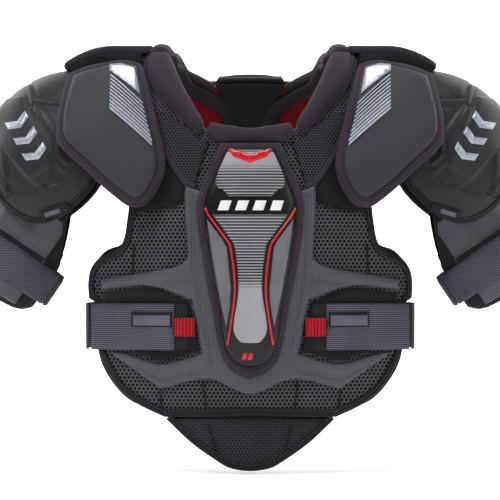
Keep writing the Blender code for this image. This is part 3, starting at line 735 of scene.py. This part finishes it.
def chest_liner():
    half = fronts(*NECK_EDGE, (60, 385), (74, 418))
    half += [arch(88, SEAM_ANGLE - 1), arch(116, SEAM_ANGLE - 1)] + fronts(*ARMHOLE, *HEM)
    paths = both_sides(fronts((98, 86), (95, 64)), fronts((51, 96), (48, 68)),
        fronts((131, 279), (86, 283), (69, 291)), fronts((128, 205), (126, 244)))
    for number, path in enumerate(paths):
        seam_bead(f"chest_seam_{number + 1}", path, "chest")
    seams = [groove(path, 0.0022, 0.0022) for path in paths]
    panel("chest_liner_padding", whole(half), -LINER, LINER, "chest", [SPACER_MESH, BACKING],
        ("chest_liner",), relief=seams, roll=0.007, crown=0.0006, cell=0.0032)


def moulded_shell():
    half = fronts((0, 296), (50, 300), (69, 306), (70, 295), (66, 229), (78, 220), (154, 207), (159.5, 204),
        (160, 194.5), (107, 199), (62, 184), (51, 126), (95, 115), (136, 126), (151, 127), (95, 88),
        (45, 99), (0, 83))
    lines = (([(66, 303), (64.5, 226), (58, 180), (45, 112)], -0.0012, 0.0022), ([(61.5, 296), (59.5, 230),
        (52, 176), (40, 116)], 0.0026, 0.0016), ([(69, 290), (66, 228), (60, 180), (48, 118)], 0.0016,
        0.0014), ([(66, 222), (79, 213), (156, 200)], -0.0012, 0.0022),
        ([(64, 208), (84, 203), (150, 196.5)], 0.0018, 0.0016), ([(50, 119), (95, 108), (140, 121)],
        -0.0012, 0.0020), ([(48, 110), (92, 98), (135, 118)], 0.0018, 0.0016))
    paths = both_sides(*[fronts(*line) for line, depth, width in lines])
    relief = [groove(path, *size) for path, (line, *size) in zip(paths, lines * 2)]
    panel("moulded_chest_shell", whole(half), GAP, SHELL, "chest", [MOULDED_FOAM],
        ("moulded_shell",), relief=relief, roll=0.0045, cell=0.0020)


FRAME_EDGE = [(0, 350), (31, 350), (46, 316), (56, 286), (50, 229), (40, 175), (30, 124), (19, 108),
    (0, 99)]
PLATE_EDGE = [(0, 342), (25, 342), (38, 312), (47, 284), (41, 229), (32, 180), (25, 134), (16, 119),
    (0, 113)]
RED_LINE = [(45.5, 281), (42, 274), (24, 249), (20, 242), (15.5, 197), (20, 156), (23, 137)]


def sternum():
    middle = whole(fronts(*PLATE_EDGE))
    panel("sternum_frame_neoprene", whole(fronts(*FRAME_EDGE)), FRAME_HEIGHT, 0.003, "chest", [NEOPRENE],
        ("sternum_frame",), roll=0.0028, crown=0.0008, cell=0.004,
        relief=[groove(middle, 0.0016, 0.0016, True)])
    stitches("sternum_frame_stitching", whole(fronts((0, 346), (28.5, 346.5), (42.5, 315), (51.8, 286),
        (46, 229), (36.2, 176), (27, 128), (17.5, 113), (0, 105))), "chest", height=FRAME_HEIGHT + 0.0036,
        closed=True, pitch=0.0038)
    relief = [groove(path, 0.0009, 0.0024) for path in both_sides(fronts(*RED_LINE))]
    panel("sternum_plate_base", middle, PLATE_HEIGHT, PLATE, "chest", [GLOSS_BLACK],
        ("sternum_plate",), roll=0.0030, crown=0.0010, relief=relief, cell=0.004)
    face = PLATE_HEIGHT + PLATE + 0.0015
    upper = [(0, 338), (23.5, 338), (35, 309.5), (33, 302), (27, 299), (22, 293), (0, 293)]
    lower = [(0, 274), (38, 274), (20.5, 250), (16, 243), (11.8, 197), (17, 155), (14, 145), (9, 139.5),
        (0, 139)]
    for name, half in (("sternum_inlay_upper", upper), ("sternum_inlay_lower", lower)):
        panel(name, whole(fronts(*half)), face, 0.0006, "chest", [INLAY], roll=0.0008,
            cell=0.005, crown=0.0003)
    panel("sternum_chevron_trim", whole(fronts((0, 335.5), (20, 341.5), (22.5, 340.5), (17, 333),
        (0, 326.5))), face + 0.0004, TAPE, "chest", [RED_TRIM], ("sternum_chevron",),
        roll=0.0016, cell=0.004, smooth=False)
    for side in SIDES:
        wing = fronts((43.5, 270), (37.8, 229), (29.5, 182), (24.2, 156), (20.5, 176), (19.5, 197),
            (23.5, 240), (27.5, 248))
        panel("sternum_inlay_wing" + side, wing, face, 0.0006, "chest", [INLAY_WING],
            roll=0.0008, cell=0.005, smooth=False)
        sweep("sternum_red_line" + side, fronts(*RED_LINE), round_profile(0.0012, 0.7, 8), "chest",
            RED_TRIM, height=face + 0.0002)
    for index in range(4):
        left = -33 + index * 17.5
        bar = fronts((left + 3.5, 288.5), (left + 14.5, 288.5), (left + 11, 278.5), (left, 278.5))
        panel(f"sternum_bar_{index + 1}", bar, face, 0.0006, "chest", [WHITE_PRINT],
            roll=0.0006, smooth=False)
    for index, left in enumerate((-9, -3.2)):
        bar = fronts((left + 2, 128.5), (left + 6.5, 128.5), (left + 4.5, 121), (left, 121))
        panel(f"sternum_foot_mark_{index + 1}", bar, face, 0.0006, "chest", [RED_TRIM],
            roll=0.0006, smooth=False)


def chest_sides():
    for side in SIDES:
        textile = fronts((88, 340), (68, 307), (69, 292), (87, 285), (110, 280), (129, 281), (125, 300),
            (114, 332))
        panel("armpit_gusset" + side, textile, 0.0003, 0.0009, "chest", [BACKING], roll=0.001,
            crown=0.0008)
        mesh = fronts((44, 352), (57, 360), (70, 372), (92, 386), (106, 384), (91, 342), (68, 309),
            (58, 309))
        panel("clavicle_backing" + side, mesh, GAP, 0.0006, "chest", [BACKING],
            ("clavicle_mesh" + side,), roll=0.001)
        net("clavicle_net" + side, mesh, 0.0036, 0.00062, GAP + 0.0020, "chest")
        seam = fronts((106, 384), (91, 342), (68, 308), (58, 306))
        sweep("clavicle_seam_tape" + side, seam, [(0.003, 0), (0.0025, 0.0012), (-0.0025, 0.0012),
            (-0.003, 0)], "chest", NEOPRENE, height=GAP + 0.0012)
        landing = fronts((159, 190.5), (107, 196.5), (65, 181), (54.5, 129.5), (95, 119), (134, 130),
            (153, 132), (158, 152))
        panel("strap_landing_loop" + side, landing, GAP, TAPE, "chest", [LOOP],
            ("strap_landing" + side,), roll=0.001)
        stitches("strap_landing_stitching" + side, landing, "chest", height=GAP + TAPE + 0.0002,
            closed=True, inset=-0.003)
        edge = [arch(116, SEAM_ANGLE - 1)] + fronts(*ARMHOLE, *HEM[:9])
        sweep("side_binding_tape" + side, edge[::-1], fold_profile(TAPE_WIDTH, 0.0016, 0.0012, LINER),
            "chest", BINDING, ("side_binding" + side,))
        stitches("side_binding_stitching" + side, edge, "chest", height=STITCH_HEIGHT, inset=-STITCH_INSET)
        wing = fronts((51, 363), (50, 374), (60, 391), (75, 419))
        wing += [arch(88, SEAM_ANGLE - 1), arch(111, SEAM_ANGLE - 1)] + fronts((103, 414), (78, 387),
            (58, 367))
        fold = fronts((56, 370), (68, 390), (88, 419))
        panel("collar_wing_front_padding" + side, wing, GAP, COLLAR, "chest", [NEOPRENE],
            ("collar_wing_front" + side,), roll=0.009, crown=0.0018, cell=0.004,
            relief=[groove(fold, 0.0008, 0.006)])
        pipe = fronts((53, 363), (58, 366), (78, 386), (103, 413)) + [arch(111.5, SEAM_ANGLE - 1)]
        sweep("collar_piping_front" + side, pipe, round_profile(0.0026), "chest", NEOPRENE,
            height=0.0028)
        stitches("collar_stitching_front" + side, pipe, "chest", height=0.0026, inset=-0.005)
    bib = fronts((0, 367), (24, 370), (42, 373), (48, 362), (32, 352.5), (0, 352.5))
    panel("collar_bib_padding", whole(bib), GAP, COLLAR, "chest", [NEOPRENE],
        ("collar_bib",), roll=0.0085, crown=0.0015, cell=0.004)
    hem = fronts((-92, 58), (-46, 59), (0, 60), (46, 59), (92, 58))
    sweep("hem_binding_tape", hem, fold_profile(TAPE_WIDTH, 0.0016, 0.0010, LINER), "chest", BINDING,
        ("hem_binding",))
    stitches("hem_binding_stitching", hem, "chest", height=STITCH_HEIGHT, inset=STITCH_INSET)


def belly_pad():
    half = fronts((0, 59.5), (46, 58.5), (91, 57.5), (63, 30), (36, 11), (22, 3.3), (0, 0))
    relief = [groove(path, 0.0020, 0.0020) for path in both_sides(fronts((47, 56), (34, 11)))]
    pad = panel("belly_pad_padding", whole(half), -LINER, LINER, None, [FINE_MESH, BACKING],
        ("belly_pad",), relief=relief, roll=0.007, crown=0.0014, cell=0.0032)
    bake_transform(pad)
    edge = fronts((-90, 55), (-63, 30), (-36, 11), (-22, 3.3), (0, 0), (22, 3.3), (36, 11), (63, 30),
        (90, 55))
    tape = sweep("belly_binding_tape", edge, fold_profile(0.007, 0.0012, 0.0010, LINER), None, BINDING)
    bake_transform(tape)
    for number, path in enumerate(both_sides(fronts((45, 49), (34, 11)))):
        seam_bead(f"belly_seam_{number + 1}", path, "belly")
    stitches("belly_binding_stitching", edge, "belly", height=0.0024, inset=STITCH_INSET)


# ---------------------------------------------------------------- Straps


def strap_patch(inner, outer, low, high):
    return [(inner, low), (outer, low), (outer, high), (inner, high)]


def side_straps():
    end = 0.080
    low = STRAP_HEIGHT - STRAP_HALF
    high = STRAP_HEIGHT + STRAP_HALF
    for side in SIDES:
        body = "strap" + side
        panel("strap_webbing" + side, strap_patch(end, STRAP_HINGE - 0.0015, low, high), STRAP_FACE, STRAP,
            body, [ELASTIC], ("strap_elastic" + side,), roll=0.0014, smooth=False)
        face = STRAP_FACE + STRAP
        for name, at in (("sewn_end", end + 0.003), ("seam", end + 0.045)):
            line = [(at, low + 0.002), (at, high - 0.002)]
            stitches(f"strap_{name}_stitching{side}", line, body, height=face + 0.0002, pitch=0.0034)
        tab = strap_patch(0.058, end - 0.0010, STRAP_HEIGHT - 0.010, STRAP_HEIGHT + 0.010)
        panel("strap_pull_tab" + side, tab, STRAP_FACE + GAP, STRAP + 0.0004, body, [RED_WEBBING],
            ("pull_tab" + side,), roll=0.0014, cell=(0.0011, 0.005),
            relief=[ribs(0, 0.0045, 0.0007)], smooth=False)
        hook = strap_patch(0.066, end + 0.030, low, high)
        panel("strap_hook_tab" + side, hook, STRAP_FACE - GAP - 0.0007, 0.0007, body, [HOOK],
            ("hook_tab" + side,), roll=0.0006, smooth=False)
        border = strap_patch(end + 0.0015, end + 0.0445, STRAP_HEIGHT - 0.0005, STRAP_HEIGHT + 0.0165)
        panel("strap_label_border" + side, border, face + 0.0004, 0.0007, body, [LABEL_BORDER],
            roll=0.0006, smooth=False)
        centre = strap_patch(end + 0.0035, end + 0.0425, STRAP_HEIGHT + 0.0015, STRAP_HEIGHT + 0.0125)
        panel("strap_label_face" + side, centre, face + 0.0012, 0.0005, body, [LABEL],
            roll=0.0006, smooth=False)


def rib_elastics():
    """The rear half of each side strap, from the chest's edge round the ribs to the back."""
    for side in SIDES:
        rows = []
        for z in np.linspace(STRAP_HEIGHT - STRAP_HALF, STRAP_HEIGHT + STRAP_HALF, 5):
            edge = lay(trunk, np.array([STRAP_HINGE]), np.array([z]), STRAP_FACE)[0][0]
            start = edge + np.array((GAP, 0.0015 + STRAP, 0))
            spots = np.array([CHEST_HALF_WIDTH * 0.90 - 0.026 * step for step in range(3)])
            landing = lay(trunk, spots, np.full(3, 2 * OVER_TOP - z), 2.4 * GAP)[0]
            swell = np.array((0.020, 0, 0))
            curve = [start, start + np.array((0, 0.030, 0)) + swell / 4, landing[0] + swell, landing[0]]
            way = []
            for s in np.linspace(0, 1, 25)[:-1]:
                parts = ((1 - s) ** 3, 3 * s * (1 - s) ** 2, 3 * s**2 * (1 - s), s**3)
                way.append(sum(point * part for point, part in zip(curve, parts)))
            rows.append(way + list(landing))
        bm = strip_through(np.array(rows).transpose(1, 0, 2))
        obj = settle("rib_elastic" + side, bm, "back", [ELASTIC], ("side_elastic" + side,))
        wall = obj.modifiers.new("Wall", "SOLIDIFY")
        wall.thickness = STRAP
        wall.offset = 1
        rounded = obj.modifiers.new("Edges", "BEVEL")
        rounded.width = 0.0006
        rounded.segments = 2


# ---------------------------------------------------------------- Back


def back_pieces():
    # The back's armhole runs inside the chest's, so that a lifted cap clears its tape.
    armhole = [(x - 4, z) for x, z in ARMHOLE[:-1]]
    for side in SIDES:
        outline = rears((0.5, 425), (24, 425), (45, 423), (75, 438))
        edge = [arch(113.5, SEAM_ANGLE + 1)] + rears(*armhole)
        edge += rears((168, 195), (162, 124), (146, 92), (124, 73), (70, 60), (0.5, 60))
        outline += [arch(89, SEAM_ANGLE + 1)] + edge
        quilting = [groove(rears(a, b), 0.0018, 0.0022) for a, b in (((105, 380), (150, 215)),
            ((30, 250), (165, 205)), ((105, 215), (110, 70)))]
        panel("back_liner_padding" + side, outline, -LINER, LINER, "back", [SPACER_MESH, RED_LINING],
            ("back_liner" + side,), relief=quilting, roll=0.006, crown=0.0005)
        sweep("back_binding_tape" + side, edge[::-1], fold_profile(TAPE_WIDTH, 0.0004, 0.0006,
            LINER - 0.001), "back", BINDING)
        stitches("back_binding_stitching" + side, edge, "back", height=0.0018, inset=-STITCH_INSET)
        wing = rears((8, 424), (45, 421), (75, 437)) + [arch(89, SEAM_ANGLE + 1), arch(111, SEAM_ANGLE + 1)]
        wing += rears((100, 424), (80, 406), (45, 396), (8, 396))
        panel("collar_wing_back_padding" + side, wing, GAP, COLLAR, "back", [NEOPRENE],
            ("collar_wing_back" + side,), roll=0.009, crown=0.0018, cell=0.004)
        collar = rears((29, 401), (35, 411), (44, 419), (56, 426), (75, 437)) + [arch(86, SEAM_ANGLE + 1.5)]
        sweep("collar_edge_roll" + side, collar, round_profile(0.0068, 1.0, 14), "back", NEOPRENE,
            height=-0.004)
        band = [arch(86, SEAM_ANGLE + 2)] + rears((73, 429), (50, 414), (33, 403), (25, 390), (22.5, 374),
            (22, 350))
        sweep("collar_inner_band" + side, band, round_profile(0.0078, 0.5, 14), "back", NEOPRENE,
            height=-LINER - 0.0022)
        scapula = rears((38, 390), (78, 400), (100, 392), (114, 340), (122, 300), (110, 262), (60, 240),
            (34, 262))
        inner = rears((48, 378), (78, 386), (92, 380), (103, 336), (109, 302), (99, 273), (61, 254),
            (46, 270))
        ways = [groove(rears(a, b), 0.0012, 0.0014) for a, b in (((50, 350), (103, 335)),
            ((47, 312), (108, 302)))]
        panel("scapula_pad_moulded" + side, scapula, GAP, SHELL, "back", [MOULDED_FOAM],
            ("scapula_pad" + side,), relief=[plateau(inner, 0.0022, 0.006)] + ways,
            roll=0.004, cell=0.004)
        kidney = rears((32, 225), (60, 232), (98, 236), (102, 190), (98, 110), (78, 78), (34, 74))
        centre = rears((43, 213), (62, 220), (88, 223), (91, 188), (87, 115), (73, 91), (44, 87))
        ways = [groove(rears((43, z), (90, z + 5)), 0.0012, 0.0014) for z in (185, 150, 118)]
        panel("kidney_pad_moulded" + side, kidney, GAP, SHELL, "back", [MOULDED_FOAM],
            ("kidney_pad" + side,), relief=[plateau(centre, 0.0022, 0.006)] + ways, roll=0.004, cell=0.004)
        outline = [arch(105, 79), arch(196, 79), arch(202, 84), arch(202, 100), arch(186, 118),
            arch(108, 124)]
        panel("shoulder_bridge_ribbed" + side, outline, 0, FLAP_PAD, "back", [RIBBED_ELASTIC],
            ("shoulder_bridge" + side,), surface=shoulder, roll=0.004,
            cell=(0.00065, 0.008), relief=[ribs(0, 0.0026, 0.0007)])
    segments = (("upper", 392, 303, 36, trunk), ("middle", 300, 201, 30, flat_back),
        ("lower", 198, 78, 30, trunk))
    for name, top, bottom, wide, surface in segments:
        half = [(0, top), (wide - 8, top), (wide, top - 10), (wide - 6, bottom + 8), (wide - 14, bottom),
            (0, bottom)]
        ridge = whole(rears((0, top - 8), (wide - 14, top - 10), (wide - 19, bottom + 12), (0, bottom + 8)))
        ways = [] if name == "middle" else [plateau(ridge, 0.0018, 0.004)]
        panel(f"spine_plate_{name}_moulded", whole(rears(*half)), GAP, SHELL, "back", [CAP_PLASTIC],
            ("spine_plate_" + name,), surface=surface, roll=0.004, cell=0.004,
            relief=ways, smooth=False)
    channel = whole(rears((0, 431), (38, 430), (30, 405), (20, 380), (17, 330), (14, 80), (0, 80)))
    rise = whole(rears((0, 420), (28, 419), (20, 400), (12, 378), (10, 330), (9, 90), (0, 90)))
    panel("spine_channel_cloth", channel, -LINER - GAP - TAPE, TAPE + GAP, "back", [CAP_TEXTURE],
        ("spine_channel",), roll=0.002, relief=[plateau(rise, 0.0010, 0.003)], cell=0.005)
    head = whole(rears((0, 434), (36, 433), (39, 427), (34, 412), (0, 412)))
    panel("spine_head_moulded", head, -0.0098, 0.0096, "back", [CAP_PLASTIC],
        roll=0.003, cell=0.005)


# ---------------------------------------------------------------- Clavicle flaps

FLAP_EDGE = [(118, 437), (138, 441), (160, 438), (198, 425), (204, 402), (209, 375), (206, 350), (168, 314),
    (136, 287), (125, 283), (113, 285.5), (102, 298), (93, 318), (92, 337), (100, 370), (111, 414)]
FLAP_PLATE = [(124, 431), (139, 434), (160, 430), (190, 420), (196, 398), (200, 376), (197, 354),
    (163, 322), (134, 298), (125, 293), (117, 295), (110, 303), (102, 320), (101, 337), (109, 368),
    (119, 412)]


def clavicle_flaps():
    crease = flaps((151, 424), (152, 386), (105, 351))
    plate_height = FLAP_PAD + GAP
    foil_height = plate_height + PLATE + 0.0018
    for side in SIDES:
        body = "clavicle_flap" + side
        outline = flaps(*FLAP_EDGE)
        panel("clavicle_flap_padding" + side, outline, 0, FLAP_PAD, body, [NEOPRENE, BACKING],
            ("clavicle_pad" + side,), surface=shoulder, roll=0.006, crown=0.0012,
            cell=0.004)
        stitches("clavicle_flap_stitching" + side, outline, body, surface=shoulder, height=FLAP_PAD
            + 0.0007, closed=True, inset=-0.0048, pitch=0.0040)
        panel("clavicle_flap_plate" + side, flaps(*FLAP_PLATE), plate_height, PLATE, body, [FLAP_PLASTIC],
            ("clavicle_plate" + side,), surface=shoulder, roll=0.004, crown=0.0009,
            cell=0.0035, relief=[groove(crease, -0.0007, 0.0022)])
        solid = flaps((152.5, 430.5), (140, 431.5), (126, 427), (122, 412), (119.5, 400), (152.5, 424))
        panel("clavicle_foil_panel" + side, solid, foil_height, 0.0006, body, [FOIL],
            ("clavicle_foil" + side,), surface=shoulder, roll=0.0006, smooth=False)
        for index in range(10):
            z = 420.5 - index * 3.7
            wide = 1.1 + 0.12 * index
            drop = 0
            while drop < 47 and 152 - drop > np.interp(z - drop * 0.83, (352, 383, 415),
                    (106, 114.5, 121.5)):
                drop += 0.5
            ends = ((152, z), (152, z - wide * 1.3), (152 - drop, z - drop * 0.83 - wide * 1.3),
                (152 - drop, z - drop * 0.83))
            panel(f"clavicle_stripe_{index + 1}{side}", flaps(*ends), foil_height, 0.0005, body, [FOIL],
                surface=shoulder, roll=0.0003, smooth=False)


# ---------------------------------------------------------------- Shoulder caps

LOBE_DROP = 0.052
LOBE_AZIMUTH = 23
LOBE_SPREAD = 38
INNER_REACH = 0.040


def cap_rim(azimuth):
    """The angle from the cap's top down to its edge, for an azimuth in degrees."""
    from_front = azimuth if azimuth <= 90 else 180 - azimuth
    from_lobe = min(abs(from_front - LOBE_AZIMUTH) / LOBE_SPREAD, 1.0)
    drop = LOBE_DROP * math.cos(from_lobe * math.pi / 2) ** 0.7
    rim = math.acos(-min(drop / CAP_SIZE.z, 0.9))
    inward = -math.sin(math.radians(azimuth))
    if inward > 0.05:
        reach = INNER_REACH / (CAP_SIZE.x * inward)
        if reach < 1:
            rim = min(rim, math.asin(reach))
    return rim


def cap_relief(places):
    """Moulded ridges and hollows of the cap, by place in the front view, in drafted millimetres."""
    spots = np.stack([places[:, 0] * 1000, (places[:, 2] + SHOULDER_TOP) * 1000], 1)
    height = np.zeros(len(spots))
    ridges = (([(240, 414), (235, 397), (203, 395)], 2.4, 1.6), ([(232, 391), (207, 356), (206, 339),
        (197, 331)], 2.4, 1.6), ([(284, 352), (276, 322), (262, 300)], 2.0, 1.6))
    for line, tall, wide in ridges:
        away = distance_to(spots, line, False)
        height += tall * np.exp(-((away / wide) ** 2)) - 1.2 * np.exp(-(((away - 4.5) / 1.8) ** 2))
    band = [(285, 400), (248, 402), (214, 330), (222, 300), (245, 320), (262, 340), (290, 360)]
    height += plateau(band, 2.0, 1.8)(spots)
    hollow = [(266, 345), (238, 314), (212, 330), (199, 318), (207, 309), (238, 300), (262, 296)]
    height += plateau(hollow, -2.6, 1.6)(spots)
    return height / 1000 * np.clip(0.6 - places[:, 1] / 0.05, 0.25, 1)  # shallower behind, under the bridge


def on_cap(x, z):
    """A drafted point of the cap's front, by its place in the front view."""
    across = (x / 1000 - CAP_CENTRE.x) / (CAP_SIZE.x + CAP_SHELL)
    up = (z / 1000 - SHOULDER_TOP - CAP_CENTRE.z) / (CAP_SIZE.z + CAP_SHELL)
    ahead = math.sqrt(max(1 - across**2 - up**2, 0.0004))
    return (math.atan2(across, ahead) * CAP_ROUND, -math.acos(up) * CAP_ROUND)


def cap_dome(name, height, thickness, relief, body, material, node, fine=3):
    bm = bmesh.new()
    rings = 12 * fine
    bmesh.ops.create_uvsphere(bm, u_segments=48 * fine, v_segments=2 * rings, radius=1)
    bmesh.ops.delete(bm, geom=[vert for vert in bm.verts if vert.co.z < -0.005], context="VERTS")
    angles = []
    for vert in bm.verts:
        share = math.acos(min(vert.co.z, 1.0)) / (math.pi / 2)
        azimuth = math.degrees(math.atan2(vert.co.x, -vert.co.y))
        if azimuth < -90:
            azimuth += 360
        angles.append((math.radians(azimuth) * CAP_ROUND, -max(cap_rim(azimuth) * share, 0.004)
            * CAP_ROUND))
    angles = np.array(angles)
    bare = cap(angles[:, 0], angles[:, 1])
    raised = height + (cap_relief(bare) if relief else 0)
    placed, _ = lay(cap, angles[:, 0], angles[:, 1], raised)
    move_to(bm, placed)
    cloth = bm.loops.layers.uv.new("Pattern")
    for face in bm.faces:
        for loop in face.loops:
            offset = loop.vert.co - CAP_CENTRE
            loop[cloth].uv = (offset.x, offset.z)
    bmesh.ops.recalc_face_normals(bm, faces=bm.faces[:])
    if sum(face.normal.dot(face.calc_center_median() - CAP_CENTRE) for face in bm.faces) < 0:
        bmesh.ops.reverse_faces(bm, faces=bm.faces[:])
    return settle(name, bm, body, [material], (node,), solid=thickness)


def shoulder_caps():
    rim = []
    for degrees in range(-90, 270, 4):
        rim.append((math.radians(degrees) * CAP_ROUND, -cap_rim(degrees) * CAP_ROUND))
    for side in SIDES:
        body = "cap" + side
        cap_dome("cap_liner_padding" + side, -0.0015, 0.004, False, body, NEOPRENE,
            "cap_liner" + side, fine=2)
        cap_dome("cap_shell_moulded" + side, CAP_SHELL, CAP_SHELL, True, body, CAP_PLASTIC,
            "cap_shell" + side, fine=8)
        profile = fold_profile(TAPE_WIDTH, CAP_SHELL, 0.0008, 0.0052)
        sweep("cap_binding_tape" + side, rim, profile, body, BINDING, surface=cap,
            smooth=False)
        stitches("cap_binding_stitching" + side, rim, body, surface=cap, height=CAP_SHELL + 0.0016,
            inset=0.0064)
        label = [on_cap(*spot) for spot in ((228, 280), (197, 289), (193, 279), (225, 270))]
        panel("cap_label_blank" + side, label, CAP_SHELL + 0.0026, 0.0006, body, [LABEL_BORDER],
            surface=cap, roll=0.0006, smooth=False)
        bar = [on_cap(*spot) for spot in ((222, 278), (206, 283), (204.5, 278.5), (220.5, 273.5))]
        panel("cap_label_bar" + side, bar, CAP_SHELL + 0.0034, 0.0004, body, [LABEL],
            surface=cap, roll=0.0004, smooth=False)
        for index, (x, z) in enumerate(((233, 344), (243, 361), (253, 378))):
            shape = [(-9.1, 10.2), (-0.9, -1.4), (13.3, -3.0), (9.1, -10.2), (-5.1, -8.6), (-13.3, 3.0)]
            mark = [on_cap(x + a, z + b) for a, b in shape]
            panel(f"cap_emblem_mark_{index + 1}{side}", mark, CAP_SHELL + 0.0016, 0.0014, body, [FOIL],
                ("cap_emblem" + side,), surface=cap, roll=0.0008, smooth=False, cell=0.004)


# ---------------------------------------------------------------- Biceps guards


def sleeve_start(turn):
    return SLEEVE_TOP + (BAND_TOP - SLEEVE_TOP) * max(abs(turn) - 118, 0) / 42


def sleeve_end(turn):
    return SLEEVE_BOTTOM - 0.021 * (abs(turn) / 170) ** 8


def around_arm(first, last, top, bottom):
    turns = np.linspace(first, last, max(int(abs(last - first) / 8), 2) + 1)
    return [arm(turn, top(turn)) for turn in turns[::-1]] + [arm(turn, bottom(turn)) for turn in turns]


def biceps_guards():
    for side in SIDES:
        body = "biceps" + side
        sleeve_outline = around_arm(-160, 160, sleeve_start, sleeve_end)
        panel("biceps_sleeve_padding" + side, sleeve_outline, 0, 0.004, body, [BINDING, BACKING],
            ("biceps_pad" + side,), surface=sleeve, roll=0.004, crown=0.0005,
            smooth=False)
        stitches("biceps_sleeve_stitching" + side, sleeve_outline, body, surface=sleeve, height=0.0048,
            closed=True, inset=-0.0028)
        shell = around_arm(-126, 126, lambda turn: sleeve_start(turn) + 0.013, lambda turn: sleeve_end(turn)
            - 0.005)
        hollows = []
        for first, last in ((-122, -101), (-92, -62), (-52, -22), (-12, 12), (22, 52), (62, 92),
                (101, 122)):
            recess = [arm(first, 0.074), arm(last, 0.074), arm(last, 0.112), arm(first, 0.112)]
            hollows.append(plateau(recess, -0.0019, 0.0016))
        panel("biceps_shell_moulded" + side, shell, 0.0052, PLATE, body, [MOULDED_FOAM],
            ("biceps_shell" + side,), surface=sleeve, roll=0.003, crown=0.0006, relief=hollows, cell=0.003,
            smooth=False)
        band = around_arm(-160, 0, lambda turn: BAND_TOP, lambda turn: BAND_BOTTOM)
        panel("biceps_band_elastic" + side, band, 0.0094, 0.002, body, [ARM_ELASTIC],
            ("biceps_elastic" + side,), surface=sleeve, roll=0.001, smooth=False)
        strip = around_arm(-126, 126, lambda turn: BAND_TOP - 0.0065, lambda turn: BAND_TOP - 0.0002)
        panel("biceps_webbing_strip" + side, strip, 0.0084, 0.0010, body, [LOOP],
            surface=sleeve, roll=0.0008, smooth=False)
        line = [arm(turn, 0.074) for turn in range(-56, 57, 6)]
        sweep("biceps_red_line" + side, line, round_profile(0.0008, 0.7, 8), body, RED_TRIM,
            surface=sleeve, height=0.0088)
        strap = around_arm(-301, -162, lambda turn: BAND_TOP, lambda turn: BAND_BOTTOM)
        panel("biceps_strap_elastic" + side, strap, 0.0094, 0.002, "biceps_strap" + side, [ARM_ELASTIC],
            ("biceps_strap" + side,), surface=sleeve, roll=0.001, smooth=False)
        hook = around_arm(-318, -302, lambda turn: BAND_TOP + 0.005, lambda turn: BAND_BOTTOM - 0.005)
        panel("biceps_strap_hook" + side, hook, 0.0094, 0.002, "biceps_strap" + side, [HOOK],
            ("biceps_hook_tab" + side,), surface=sleeve, roll=0.001, smooth=False)


chest_liner()
moulded_shell()
sternum()
chest_sides()
belly_pad()
side_straps()
rib_elastics()
back_pieces()
clavicle_flaps()
shoulder_caps()
biceps_guards()

# ---------------------------------------------------------------- Studio


CAMERA_AWAY = 5.0
VIEW_WIDTH = 0.550  # width of the view at the middle of the object


def studio():
    """A pale sweep of paper, soft boxes and a long lens straight in front of the chest."""
    floor = cad_low.z - 0.004
    profile = [(-10, floor), (-2, floor), (7.2, floor), (8.2, floor + 0.15), (8.9, floor + 0.8),
        (9.1, floor + 2), (9.1, floor + 7)]
    rows = [[(x, y, z) for y, z in profile] for x in np.linspace(-10, 10, 9)]
    bm = strip_through(rows)
    paper = bpy.data.materials.new("backdrop_paper_white")
    paper.use_nodes = True
    shader = paper.node_tree.nodes["Principled BSDF"]
    shader.inputs["Base Color"].default_value = srgb("f6f6f6")
    shader.inputs["Roughness"].default_value = 0.9
    shader.inputs["Emission Color"].default_value = (1, 1, 1, 1)
    shader.inputs["Emission Strength"].default_value = 0.30
    sweep_paper = settle("backdrop", bm, None, [paper])
    rounding = sweep_paper.modifiers.new("Rounding", "SUBSURF")
    rounding.levels = 2
    rounding.render_levels = 2
    world = bpy.data.worlds.new("studio_air")
    bpy.context.scene.world = world
    world.use_nodes = True
    world.node_tree.nodes["Background"].inputs["Color"].default_value = (1, 1, 1, 1)
    world.node_tree.nodes["Background"].inputs["Strength"].default_value = 0.20
    middle = Vector((0, 0, -0.21))
    boxes = (("key", (-1.5, -1.7, 1.9), 0.8, 34), ("fill", (1.9, -2.2, 0.9), 1.2, 14),
        ("top", (0, -0.3, 2.3), 1.0, 34), ("rim_left", (-2.2, 0.6, 0.7), 0.9, 20), ("rim_right",
        (2.2, 0.6, 0.7), 0.9, 20), ("paper_left", (-2.6, 4.2, 3.4), 3.0, 420), ("paper_right",
        (2.6, 4.2, 3.4), 3.0, 420))
    for name, place, size, power in boxes:
        light = bpy.data.lights.new(name, "AREA")
        light.size = size
        light.energy = power
        lamp = bpy.data.objects.new(name, light)
        bpy.context.scene.collection.objects.link(lamp)
        lamp.location = place
        aim = Vector((0, 7.5, 0.0)) if name.startswith("paper") else middle
        lamp.rotation_euler = (aim - Vector(place)).to_track_quat("-Z", "Y").to_euler()
    camera = bpy.data.cameras.new("camera")
    camera.lens = 36 * CAMERA_AWAY / VIEW_WIDTH
    camera.sensor_width = 36
    viewer = bpy.data.objects.new("camera", camera)
    bpy.context.scene.collection.objects.link(viewer)
    viewer.location = (-0.0003, -CAMERA_AWAY, -0.2145)
    viewer.rotation_euler = (math.radians(90), 0, 0)
    bpy.context.scene.camera = viewer
    bpy.context.scene.view_settings.view_transform = "Standard"


studio()
